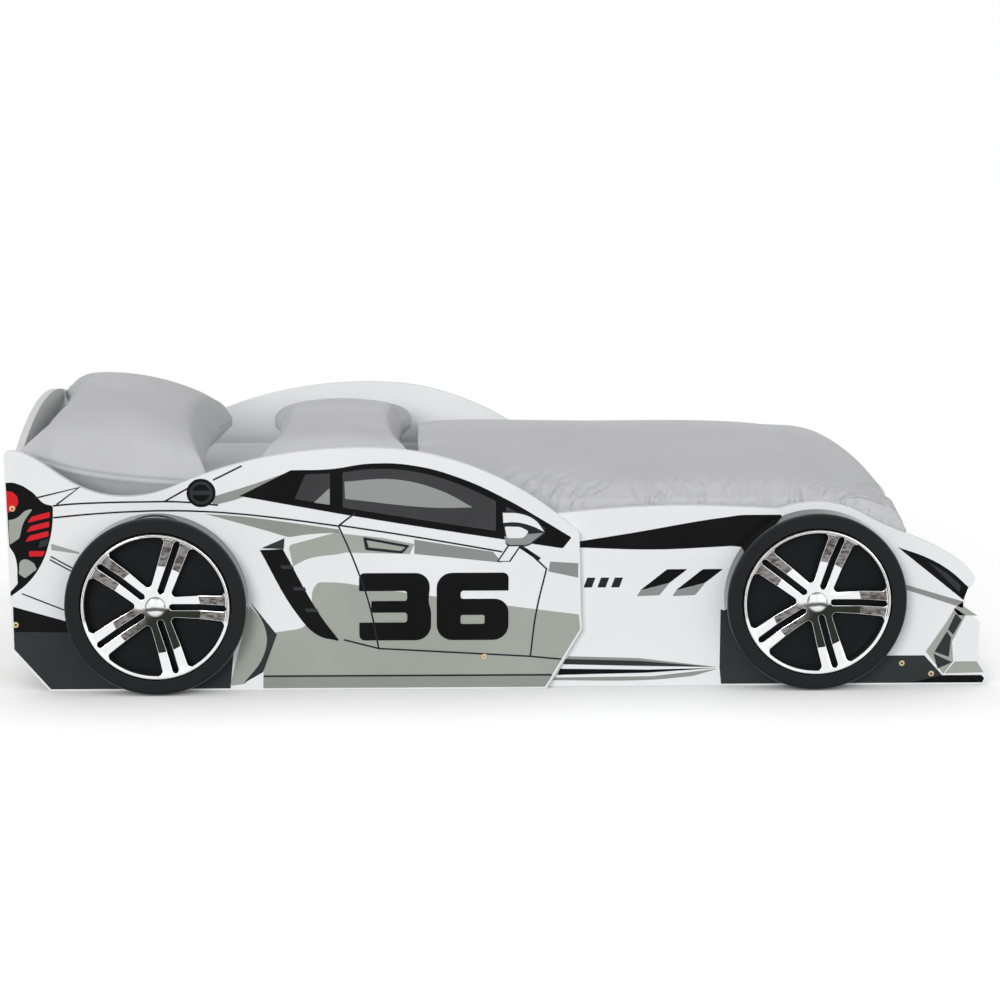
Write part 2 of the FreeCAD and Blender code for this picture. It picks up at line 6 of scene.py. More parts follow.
import functools
import logging
import math
from dataclasses import dataclass, field
from enum import Enum
from typing import Callable, Iterable, Sequence, Union

import bmesh
import bpy
import numpy as np
from mathutils import Matrix, Vector


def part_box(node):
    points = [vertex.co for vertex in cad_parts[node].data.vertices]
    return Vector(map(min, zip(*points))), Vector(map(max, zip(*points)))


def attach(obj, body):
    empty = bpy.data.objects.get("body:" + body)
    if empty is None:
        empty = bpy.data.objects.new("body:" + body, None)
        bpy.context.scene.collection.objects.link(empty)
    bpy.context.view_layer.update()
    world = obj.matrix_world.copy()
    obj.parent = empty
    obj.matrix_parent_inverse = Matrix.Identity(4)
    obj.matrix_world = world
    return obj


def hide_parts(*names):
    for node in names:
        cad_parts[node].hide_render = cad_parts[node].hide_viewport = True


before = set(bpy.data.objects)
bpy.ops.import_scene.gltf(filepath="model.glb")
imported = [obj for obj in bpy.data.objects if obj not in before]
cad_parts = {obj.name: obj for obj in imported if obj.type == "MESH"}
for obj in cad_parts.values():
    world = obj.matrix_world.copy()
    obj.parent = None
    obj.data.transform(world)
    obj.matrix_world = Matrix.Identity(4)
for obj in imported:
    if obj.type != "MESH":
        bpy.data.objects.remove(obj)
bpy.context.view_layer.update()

LOG = logging.getLogger("car_bed")
MM = 0.001
Colour = tuple[float, float, float]
Spot = tuple[float, ...]
Term = Union["Wire", float]


class Side(Enum):
    """A side of the car, with the sign of its Y."""

    RIGHT = -1
    LEFT = 1

    @property
    def word(self) -> str:
        """The side's word in the names of nodes and pieces."""
        return self.name.lower()


class Body(str, Enum):
    """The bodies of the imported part."""

    FRAME = "bed_frame"
    MATTRESS = "mattress"
    DUVET = "duvet"
    PILLOW_HEAD = "pillow_head"
    PILLOW_SIDE = "pillow_side"


# ---------------------------------------------------------------- shader sheets


def arithmetic(operation: str, flipped: bool = False) -> Callable[["Wire", Term], "Wire"]:
    """Make one of the operators of Wire.

    Args:
        operation: The operation of its Math node.
        flipped: Whether the other term comes first.

    Returns:
        The operator as a method.
    """

    def method(self: "Wire", other: Term) -> "Wire":
        """Add the Math node."""
        return self.math(operation, *((other, self) if flipped else (self, other)))

    return method


class Wire:
    """A node's output whose arithmetic adds Math nodes."""

    __add__ = __radd__ = arithmetic("ADD")
    __sub__ = arithmetic("SUBTRACT")
    __rsub__ = arithmetic("SUBTRACT", flipped=True)
    __mul__ = __rmul__ = arithmetic("MULTIPLY")
    __truediv__ = arithmetic("DIVIDE")
    __pow__ = arithmetic("POWER")
    __gt__ = arithmetic("GREATER_THAN")
    least = arithmetic("MINIMUM")
    most = arithmetic("MAXIMUM")

    def __init__(self, sheet: "ShaderSheet", socket: bpy.types.NodeSocket) -> None:
        """Wrap an output.

        Args:
            sheet: The node tree being made.
            socket: The output to wrap.
        """
        self.sheet = sheet
        self.socket = socket

    def math(self, operation: str, *terms: Term) -> "Wire":
        """Add one Math node.

        Args:
            operation: The node's operation.
            terms: Its inputs, in order.

        Returns:
            The node's value.
        """
        return self.sheet.node("Math", dict(enumerate(terms)), operation=operation)

    def __abs__(self) -> "Wire":
        """Size without its sign."""
        return self.math("ABSOLUTE", self)

    def sine(self) -> "Wire":
        """Sine of an angle in radians."""
        return self.math("SINE", self)

    def across(self, other: "Wire") -> "Wire":
        """The long side of a right triangle whose short sides are this and the other."""
        return (self * self + other * other) ** 0.5

    def rise(self, low: float, high: float) -> "Wire":
        """A soft step from 0 at low to 1 at high."""
        span = {"Value": self, "From Min": low, "From Max": high}
        return self.sheet.node("MapRange", span, interpolation_type="SMOOTHSTEP")


class ShaderSheet:
    """The node tree of a material or of the world."""

    def __init__(self, owner: bpy.types.Material | bpy.types.World) -> None:
        """Empty the owner's tree.

        Args:
            owner: The material or world that is made.
        """
        self.owner = owner
        owner.use_nodes = True
        self.tree = owner.node_tree
        self.tree.nodes.clear()
        self.output = self.tree.nodes.new(f"ShaderNodeOutput{type(owner).__name__}")

    def show(self, surface: "Wire") -> None:
        """Make a shader the tree's surface."""
        self.tree.links.new(surface.socket, self.output.inputs["Surface"])

    def node(
        self, kind: str, inputs: dict | None = None, output: int | str = 0, **settings: object
    ) -> Wire:
        """Add any node.

        Args:
            kind: The node's type, without its prefix.
            inputs: Values or wires, by the name or number of the socket.
            output: Which output to hand back.
            settings: The node's own settings.

        Returns:
            The chosen output.
        """
        made = self.tree.nodes.new("ShaderNode" + kind)
        for name, value in settings.items():
            setattr(made, name, value)
        for name, value in (inputs or {}).items():
            if isinstance(value, Wire):
                self.tree.links.new(value.socket, made.inputs[name])
            else:
                made.inputs[name].default_value = value
        return Wire(self, made.outputs[output])

    def place(self) -> Wire:
        """The point on the piece, in metres."""
        return self.node("TexCoord", output="Object")

    def axes(self) -> tuple[Wire, Wire, Wire]:
        """The point's X, Y and Z."""
        split = self.node("SeparateXYZ", {0: self.place()}).socket.node
        return tuple(Wire(self, socket) for socket in split.outputs)

    def noise(self, scale: float, detail: float = 2, stretch: Sequence[float] = (1, 1, 1)) -> Wire:
        """A noise value from 0 to 1 over the piece.

        Args:
            scale: Waves to the metre.
            detail: Finer layers.
            stretch: Scale along each axis.
        """
        at = self.node("Mapping", {"Vector": self.place(), "Scale": tuple(stretch)})
        return self.node("TexNoise", {"Vector": at, "Scale": scale, "Detail": detail})

    def mix(self, factor: Term, first: object, second: object) -> Wire:
        """A blend of two colours."""
        ends = {0: factor, 6: opaque(first), 7: opaque(second)}
        return self.node("Mix", ends, output=2, data_type="RGBA")

    def bump(self, height: Wire, depth: float, strength: float = 1, under: Wire | None = None) -> Wire:
        """Surface relief.

        Args:
            height: The relief's height, from 0 to 1.
            depth: What 1 stands for, in metres.
            strength: The share of it that is used.
            under: Relief that lies beneath.
        """
        inputs = {"Height": height, "Distance": depth, "Strength": strength}
        if under is not None:
            inputs["Normal"] = under
        return self.node("Bump", inputs)

    def principled(self, **inputs: object) -> None:
        """Finish the material with a Principled shader whose sockets are given with _ for a space."""
        named = {name.replace("_", " "): value for name, value in inputs.items()}
        named["Base Color"] = opaque(named["Base Color"])
        self.show(self.node("BsdfPrincipled", named))


def opaque(colour: object) -> object:
    """A colour with its alpha, or a wire as it is."""
    return colour if isinstance(colour, Wire) else (*colour, 1)


# ---------------------------------------------------------------- finishes


@dataclass(frozen=True)
class Finish:
    """A surface finish. Each kind paints its own material."""

    name: str

    def paint(self, sheet: ShaderSheet) -> None:
        """Fill the sheet with the finish's nodes."""
        raise NotImplementedError


@functools.cache
def material(finish: Finish) -> bpy.types.Material:
    """The one material of a finish."""
    sheet = ShaderSheet(bpy.data.materials.new(finish.name))
    finish.paint(sheet)
    return sheet.owner


@dataclass(frozen=True)
class Laminate(Finish):
    """White laminated board with a faint mottle and a fine peel."""

    colour: Colour = (0.83, 0.845, 0.855)
    shade: Colour = (0.79, 0.81, 0.82)
    rough: float = 0.34

    def paint(self, sheet: ShaderSheet) -> None:
        """Paint the board."""
        cloud = sheet.noise(2.2, 2)
        peel = sheet.noise(900, 2)
        wear = sheet.noise(14, 4)
        sheet.principled(
            Base_Color=sheet.mix(cloud.rise(0.35, 0.8), self.colour, self.shade),
            Roughness=wear * 0.1 + (self.rough - 0.05),
            Normal=sheet.bump(peel, 0.00006, 0.5),
            Specular_IOR_Level=0.35,
        )


@dataclass(frozen=True)
class Film(Finish):
    """Printed film under a clear layer: one ink, faintly uneven."""

    colour: Colour
    second: Colour
    gloss: float = 0.25
    rough: float = 0.36

    def paint(self, sheet: ShaderSheet) -> None:
        """Paint the ink."""
        cloud = sheet.noise(7, 3)
        grain = sheet.noise(620, 2)
        sheet.principled(
            Base_Color=sheet.mix(cloud.rise(0.3, 0.75), self.colour, self.second),
            Roughness=grain * 0.12 + (self.rough - 0.06),
            Normal=sheet.bump(sheet.noise(1100, 2), 0.00004, 0.5),
            Specular_IOR_Level=self.gloss,
        )


@dataclass(frozen=True)
class Timber(Finish):
    """Planed softwood with its rings drawn out along one axis."""

    along: int
    pale: Colour = (0.72, 0.53, 0.32)
    dark: Colour = (0.5, 0.32, 0.16)

    def paint(self, sheet: ShaderSheet) -> None:
        """Paint the wood."""
        stretch = [14.0, 14.0, 14.0]
        stretch[self.along] = 0.9
        warp = sheet.noise(1.3, 3, stretch)
        pores = sheet.noise(9, 4, [scale * 4 for scale in stretch])
        board = sheet.noise(1.1, 1, (3, 3, 3))
        figure = ((warp * 55).sine() * 0.35 + 0.4 + pores * 0.35).rise(0.1, 1.1)
        sheet.principled(
            Base_Color=sheet.mix(figure * (board * 0.5 + 0.4), self.pale, self.dark),
            Roughness=pores * 0.2 + 0.45,
            Normal=sheet.bump(figure + pores * 0.4, 0.0003, 0.4),
        )


@dataclass(frozen=True)
class Plated(Finish):
    """Plated metal with brushed or tumbled variation."""

    colour: Colour
    stain: Colour
    rough: float

    def paint(self, sheet: ShaderSheet) -> None:
        """Paint the metal."""
        cloud = sheet.noise(90, 3)
        scratch = sheet.noise(700, 2, (1, 1, 0.15))
        sheet.principled(
            Base_Color=sheet.mix(cloud.rise(0.4, 0.75), self.colour, self.stain),
            Metallic=1.0,
            Roughness=scratch * 0.18 + (self.rough - 0.09),
            Normal=sheet.bump(scratch, 0.00005, 0.6),
        )


@dataclass(frozen=True)
class TyrePlastic(Finish):
    """A moulded wheel cover: a glossy shell whose outer ring is satin like rubber.

    face_y is how far out the ring lies, on either side.
    """

    face_y: float
    shell: Colour = (0.012, 0.012, 0.013)
    ring: Colour = (0.0105, 0.0112, 0.0118)

    def paint(self, sheet: ShaderSheet) -> None:
        """Paint the cover."""
        _, across, _ = sheet.axes()
        face = abs(across).rise(self.face_y - 0.0022, self.face_y - 0.0012)
        cloud = sheet.noise(38, 4)
        grain = sheet.noise(900, 2)
        sheet.principled(
            Base_Color=sheet.mix(face * (cloud * 0.6 + 0.4), self.shell, self.ring),
            Roughness=face * 0.4 + 0.14 + cloud * face * 0.1,
            Normal=sheet.bump(grain * face, 0.00012, 0.5),
            Specular_IOR_Level=0.13,
            Coat_Weight=(1 - face) * 0.8,
            Coat_Roughness=0.08,
        )


@dataclass(frozen=True)
class DarkPlastic(Finish):
    """Plain near-black plastic."""

    colour: Colour = (0.006, 0.0075, 0.0085)

    def paint(self, sheet: ShaderSheet) -> None:
        """Paint the plastic."""
        cloud = sheet.noise(9, 2)
        sheet.principled(
            Base_Color=sheet.mix(cloud, self.colour, tuple(part * 1.6 for part in self.colour)),
            Roughness=cloud * 0.1 + 0.4,
            Normal=sheet.bump(sheet.noise(600, 2), 0.00005, 0.5),
            Specular_IOR_Level=0.08,
        )


@dataclass(frozen=True)
class Axles:
    """Where the wheels' middles lie on the sides."""

    rear_x: float
    front_x: float
    height: float

    def offsets(self, sheet: ShaderSheet) -> tuple[Wire, Wire]:
        """How far a point lies forward of the nearer axle and above it."""
        along, _, up = sheet.axes()
        middle = (self.rear_x + self.front_x) / 2
        ahead = along > middle
        forward = along - self.rear_x - ahead * (self.front_x - self.rear_x)
        return forward, up - self.height


@dataclass(frozen=True)
class Chrome(Finish):
    """Chrome plating with a painted reflection of a dark room: painted brown beyond the valley on the upper
    spokes, and painted near black within it on the lower ones."""

    axles: Axles
    valley: float
    valley_drop: float = 0.007
    brown: Colour = (0.07, 0.054, 0.045)
    olive: Colour = (0.03, 0.032, 0.026)
    bright: Colour = (0.86, 0.865, 0.875)

    def paint(self, sheet: ShaderSheet) -> None:
        """Paint the plating."""
        forward, above = self.axles.offsets(sheet)
        outer = forward.across(above + self.valley_drop) > self.valley
        cloud = sheet.noise(60, 3, (1, 1, 1.6))
        streak = sheet.noise(110, 2, (0.6, 1, 1.4))
        # painted reflection: the upper spokes beyond the valley are painted brown and the lower ones within
        # it near black, standing in for a dark room mirrored in the chrome
        high = (above + cloud * 0.02).rise(-0.03, -0.018) * outer
        low = (0 - above - cloud * 0.01).rise(-0.004, 0.003) * (1 - outer)
        painted_dark_reflection = low * (forward - above * 0.6).rise(-0.03, 0.012)
        painted_brown_reflection = (high + low).least(1) * (streak.rise(0.35, 0.7) * 0.25 + 0.75)
        brown = sheet.mix(painted_brown_reflection, self.bright, self.brown)
        sheet.principled(
            Base_Color=sheet.mix(painted_dark_reflection, brown, self.olive),
            Metallic=1.0,
            Roughness=cloud * 0.06 + 0.05,
            Normal=sheet.bump(sheet.noise(26, 2), 0.0004, 0.22),
        )


@dataclass(frozen=True)
class Polished(Finish):
    """Chrome as bright as it comes, for thin edges."""

    colour: Colour = (0.9, 0.905, 0.91)

    def paint(self, sheet: ShaderSheet) -> None:
        """Paint the edge."""
        rough = sheet.noise(80, 3) * 0.05 + 0.06
        sheet.principled(Base_Color=self.colour, Metallic=1.0, Roughness=rough)


@dataclass(frozen=True)
class Dome(Finish):
    """A chrome dome with a painted reflection: a dark waist and a dark rim painted into its colour."""

    axles: Axles
    reach: float
    bright: Colour = (0.88, 0.885, 0.89)
    dark: Colour = (0.045, 0.045, 0.045)

    def paint(self, sheet: ShaderSheet) -> None:
        """Paint the dome."""
        forward, above = self.axles.offsets(sheet)
        # painted reflection: a dark band across the dome's middle and a dark ring at its rim, mixed into the
        # base colour
        level = (above + forward * forward * 9) / self.reach + sheet.noise(70, 2) * 0.2
        waist = level.rise(-0.32, -0.12) * (1 - level.rise(0.06, 0.3))
        rim = (forward.across(above) / self.reach).rise(0.74, 1)
        sheet.principled(
            Base_Color=sheet.mix((waist * 0.9).most(rim * 0.8), self.bright, self.dark),
            Metallic=1.0,
            Roughness=sheet.noise(80, 3) * 0.05 + 0.03,
        )


@dataclass(frozen=True)
class Cotton(Finish):
    """Woven cotton: a soft even colour, a fine weave and a nap."""

    colour: Colour
    worn: Colour
    thread: float = 1500
    rough: float = 0.82

    def paint(self, sheet: ShaderSheet) -> None:
        """Paint the cloth."""
        cloud = sheet.noise(5, 3)
        slub = sheet.noise(160, 3, (1, 2.6, 1))
        fibre = sheet.noise(self.thread, 2)
        crumple = sheet.noise(38, 5)
        tone = cloud.rise(0.3, 0.75) * 0.6 + slub * 0.4
        weave = sheet.bump(fibre, 0.00025, 0.55)
        sheet.principled(
            Base_Color=sheet.mix(tone, self.colour, self.worn),
            Roughness=slub * 0.1 + (self.rough - 0.05),
            Normal=self.fold(sheet, sheet.bump(crumple, 0.0016, 0.35, under=weave)),
            Sheen_Weight=0.25,
            Sheen_Roughness=0.5,
        )

    def fold(self, sheet: ShaderSheet, under: Wire) -> Wire:
        """Relief of the cloth's own folds, over its weave; plain cloth has none."""
        return under


@dataclass(frozen=True)
class TuckedCotton(Cotton):
    """Cotton gathered in fine folds along both sides and in arcs round its foot corners.

    side_y is how far out the sides lie; the arcs turn round arch_x and arch_y.
    """

    side_y: float = 0.457
    arch_x: float = 0.8
    arch_y: float = 0.5

    def fold(self, sheet: ShaderSheet, under: Wire) -> Wire:
        """Relief of the tucked folds."""
        along, across, _ = sheet.axes()
        wander = sheet.noise(9, 3)
        patchy = sheet.noise(15, 2).rise(0.34, 0.62)
        inward = self.side_y - abs(across)
        radius = (along - self.arch_x).across(abs(across) - self.arch_y)
        corner = (1 - radius.rise(0.1, 0.2)) * along.rise(self.arch_x - 0.15, self.arch_x - 0.04)
        arcs = (radius * 390 + wander * 14).sine()
        tucks = ((along - inward * 0.7) * 190 + wander * 26).sine()
        tucks = tucks * (1 - inward.rise(0.015, 0.1)) * (1 - corner)
        return sheet.bump((arcs * corner * 0.9 + tucks) * patchy, 0.003, 0.75, under=under)


WHITE_BOARD = Laminate("laminate_white")
PLAIN_BOARD = Laminate("laminate_plain", (0.76, 0.765, 0.76), (0.72, 0.725, 0.72), 0.42)
GREY_COTTON = Cotton("cotton_grey", (0.56, 0.56, 0.575), (0.51, 0.51, 0.525))
TUCKED_COTTON = TuckedCotton("cotton_grey_tucked", GREY_COTTON.colour, GREY_COTTON.worn)
WHITE_TICKING = Cotton("ticking_white", (0.87, 0.9, 0.895), (0.83, 0.86, 0.855), 900)
PIPING_WHITE = Cotton("piping_white", (0.8, 0.81, 0.81), (0.7, 0.71, 0.71), 700)


class Ink(Enum):
    """The inks of the printed film."""

    BLACK = Film("film_black", (0.0045, 0.0045, 0.005), (0.007, 0.007, 0.0075), 0.06)
    SLATE = Film("film_slate", (0.029, 0.034, 0.036), (0.035, 0.041, 0.043), 0.08)
    LINE = Film("film_line", (0.014, 0.02, 0.025), (0.018, 0.025, 0.03), 0.08)
    PANE = Film("film_pane_dark", (0.045, 0.045, 0.047), (0.055, 0.055, 0.057), 0.08)
    GLINT = Film("film_pane_light", (0.28, 0.285, 0.285), (0.31, 0.315, 0.315))
    MIDDLE = Film("film_middle_grey", (0.25, 0.26, 0.255), (0.27, 0.28, 0.275))
    SAGE = Film("film_sage", (0.335, 0.362, 0.325), (0.36, 0.385, 0.35))
    SHADE = Film("film_sage_deep", (0.26, 0.282, 0.256), (0.285, 0.305, 0.28))
    RED = Film("film_red", (0.62, 0.006, 0.014), (0.68, 0.01, 0.02))
    WHITE = Film("film_white", (0.83, 0.845, 0.855), (0.8, 0.815, 0.825))


# ---------------------------------------------------------------- mesh helpers


def keep(
    name: str, mesh: bpy.types.Mesh, finishes: Sequence[Finish], body: Body, smooth: bool = True
) -> bpy.types.Object:
    """Put a finished mesh in the scene as a piece.

    Args:
        name: The piece's name.
        mesh: Its mesh, in place.
        finishes: One finish for each material index.
        body: The body it rides on.
        smooth: Whether its faces are shaded smooth.

    Returns:
        The piece.
    """
    piece = bpy.data.objects.new(name, mesh)
    bpy.context.scene.collection.objects.link(piece)
    for finish in finishes:
        mesh.materials.append(material(finish))
    if smooth:
        mesh.polygons.foreach_set("use_smooth", [True] * len(mesh.polygons))
    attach(piece, body.value)
    LOG.info("%s: %d faces, rides on %s", name, len(mesh.polygons), body.value)
    return piece


def to_mesh(name: str, bm: bmesh.types.BMesh) -> bpy.types.Mesh:
    """Write a bmesh out and free it."""
    mesh = bpy.data.meshes.new(name)
    bm.to_mesh(mesh)
    bm.free()
    return mesh


def solid(curve: bpy.types.Curve) -> bmesh.types.BMesh:
    """Turn a curve into a mesh and drop the curve."""
    holder = bpy.data.objects.new(curve.name, curve)
    mesh = bpy.data.meshes.new_from_object(holder)
    bm = bmesh.new()
    bm.from_mesh(mesh)
    bpy.data.objects.remove(holder)
    bpy.data.curves.remove(curve)
    bpy.data.meshes.remove(mesh)
    return bm


def form(bm: bmesh.types.BMesh, made: dict, size: Sequence[float], middle: Vector) -> None:
    """Give a new form its size and place.

    Args:
        bm: The mesh it is in.
        made: What its operator gave back.
        size: Its scale along X, Y and Z.
        middle: Its middle.
    """
    bmesh.ops.scale(bm, vec=size, verts=made["verts"])
    bmesh.ops.translate(bm, vec=middle, verts=made["verts"])


def rows_of(mesh: bpy.types.Mesh, what: str = "co") -> np.ndarray:
    """A mesh's points, or their normals, as rows."""
    flat = np.empty(len(mesh.vertices) * 3)
    mesh.vertices.foreach_get(what, flat)
    return flat.reshape(-1, 3)


def put_rows(mesh: bpy.types.Mesh, rows: np.ndarray) -> None:
    """Move a mesh's points."""
    mesh.vertices.foreach_set("co", rows.ravel())
    mesh.update()


def dress(nodes: Iterable[str], finish: Finish) -> None:
    """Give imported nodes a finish."""
    for name in nodes:
        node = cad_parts[name]
        if not node.data.materials:
            node.data.materials.append(None)
        for place in range(len(node.data.materials)):
            node.data.materials[place] = material(finish)
        LOG.info("%s: dressed in %s", name, finish.name)


def welded_copy(node: str) -> bmesh.types.BMesh:
    """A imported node's mesh with its loose triangles joined."""
    bm = bmesh.new()
    bm.from_mesh(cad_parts[node].data)
    bmesh.ops.remove_doubles(bm, verts=bm.verts, dist=0.00002)
    return bm


# ---------------------------------------------------------------- printed film


@dataclass(frozen=True)
class Patch:
    """One area of one ink on a board.

    A spot is its X and Z in millimetres. With no third number it is a sharp corner; a third
    number rounds it by that radius, and 0 runs the edge smoothly through it.
    """

    ink: Ink
    rank: int
    edge: tuple[Spot, ...]
    holes: tuple[tuple[Spot, ...], ...] = ()


def disc(x: float, z: float, radius: float) -> tuple[Spot, ...]:
    """A round edge."""
    turns = [math.tau * step / 8 for step in range(8)]
    return tuple((x + radius * math.cos(a), z + radius * math.sin(a), 0) for a in turns)


def line(ink: Ink, rank: int, width: float, *spots: Spot) -> Patch:
    """A line of even width along a run of spots.

    Args:
        ink: Its ink.
        rank: Its layer.
        width: Its width in millimetres.
        spots: The run; a third number of 0 runs smoothly through.

    Returns:
        The line as a patch.
    """
    left, right = [], []
    for place, spot in enumerate(spots):
        here = Vector(spot[:2])
        one = here - Vector(spots[max(place - 1, 0)][:2])
        two = Vector(spots[min(place + 1, len(spots) - 1)][:2]) - here
        one = two.normalized() if one.length == 0 else one.normalized()
        two = one if two.length == 0 else two.normalized()
        out = Vector((-(one + two).y, (one + two).x)).normalized()
        out *= width / 2 / max(0.4, out.dot(Vector((-one.y, one.x))))
        left.append((*(here + out), *spot[2:]))
        right.append((*(here - out), *spot[2:]))
    return Patch(ink, rank, tuple(left + right[::-1]))


def add_spline(curve: bpy.types.Curve, edge: Sequence[Spot]) -> None:
    """Draw one closed edge as a Bezier spline.

    Args:
        curve: The flat curve to draw in.
        edge: The edge's spots.
    """
    knots = []
    count = len(edge)
    for place, spot in enumerate(edge):
        here = Vector(spot[:2])
        radius = spot[2] if len(spot) > 2 else None
        if not radius:
            kind = "VECTOR" if radius is None else "AUTO"
            knots.append((here, None, None, kind, kind))
            continue
        to_last = (Vector(edge[place - 1][:2]) - here).normalized()
        to_next = (Vector(edge[(place + 1) % count][:2]) - here).normalized()
        first, second = here + to_last * radius, here + to_next * radius
        knots.append((first, None, first.lerp(here, 0.55), "VECTOR", "FREE"))
        knots.append((second, second.lerp(here, 0.55), None, "FREE", "VECTOR"))
    spline = curve.splines.new("BEZIER")
    spline.bezier_points.add(len(knots) - 1)
    spline.use_cyclic_u = True
    for point, (co, left, right, left_kind, right_kind) in zip(spline.bezier_points, knots):
        point.co = (co.x, co.y, 0)
        point.handle_left_type = left_kind
        point.handle_right_type = right_kind
        if left is not None:
            point.handle_left = (left.x, left.y, 0)
        if right is not None:
            point.handle_right = (right.x, right.y, 0)


@dataclass
class FilmSheet:
    """The printed film on one side board, laid in thin layers."""

    name: str
    face_y: float
    side: Side
    base: float = 0.06
    step: float = 0.07

    def build(self, patches: Sequence[Patch]) -> bpy.types.Object:
        """Lay the patches.

        Args:
            patches: The film's areas.

        Returns:
            The film as one piece.
        """
        inks: list[Ink] = []
        whole = bmesh.new()
        for patch in patches:
            if patch.ink not in inks:
                inks.append(patch.ink)
            self.lay(whole, patch, inks.index(patch.ink))
        bmesh.ops.remove_doubles(whole, verts=whole.verts, dist=0.000002)
        bmesh.ops.recalc_face_normals(whole, faces=whole.faces)
        mesh = to_mesh(self.name, whole)
        finishes = [ink.value for ink in inks]
        return keep(self.name, mesh, finishes, Body.FRAME, smooth=False)

    def lay(self, whole: bmesh.types.BMesh, patch: Patch, index: int) -> None:
        """Add one patch to the film.

        Args:
            whole: The film so far.
            patch: The area to add.
            index: Its ink's material index.
        """
        curve = bpy.data.curves.new("film_patch", "CURVE")
        curve.dimensions = "2D"
        curve.fill_mode = "BOTH"
        curve.extrude = self.base + self.step * patch.rank
        curve.resolution_u = 7
        for edge in (patch.edge, *patch.holes):
            add_spline(curve, edge)
        flat = solid(curve)
        rows = ((MM, 0, 0, 0), (0, 0, MM * self.side.value, self.face_y), (0, MM, 0, 0), (0, 0, 0, 1))
        flat.transform(Matrix(rows))
        for face in flat.faces:
            face.material_index = index
        mesh = to_mesh("film_patch", flat)
        whole.from_mesh(mesh)
        bpy.data.meshes.remove(mesh)


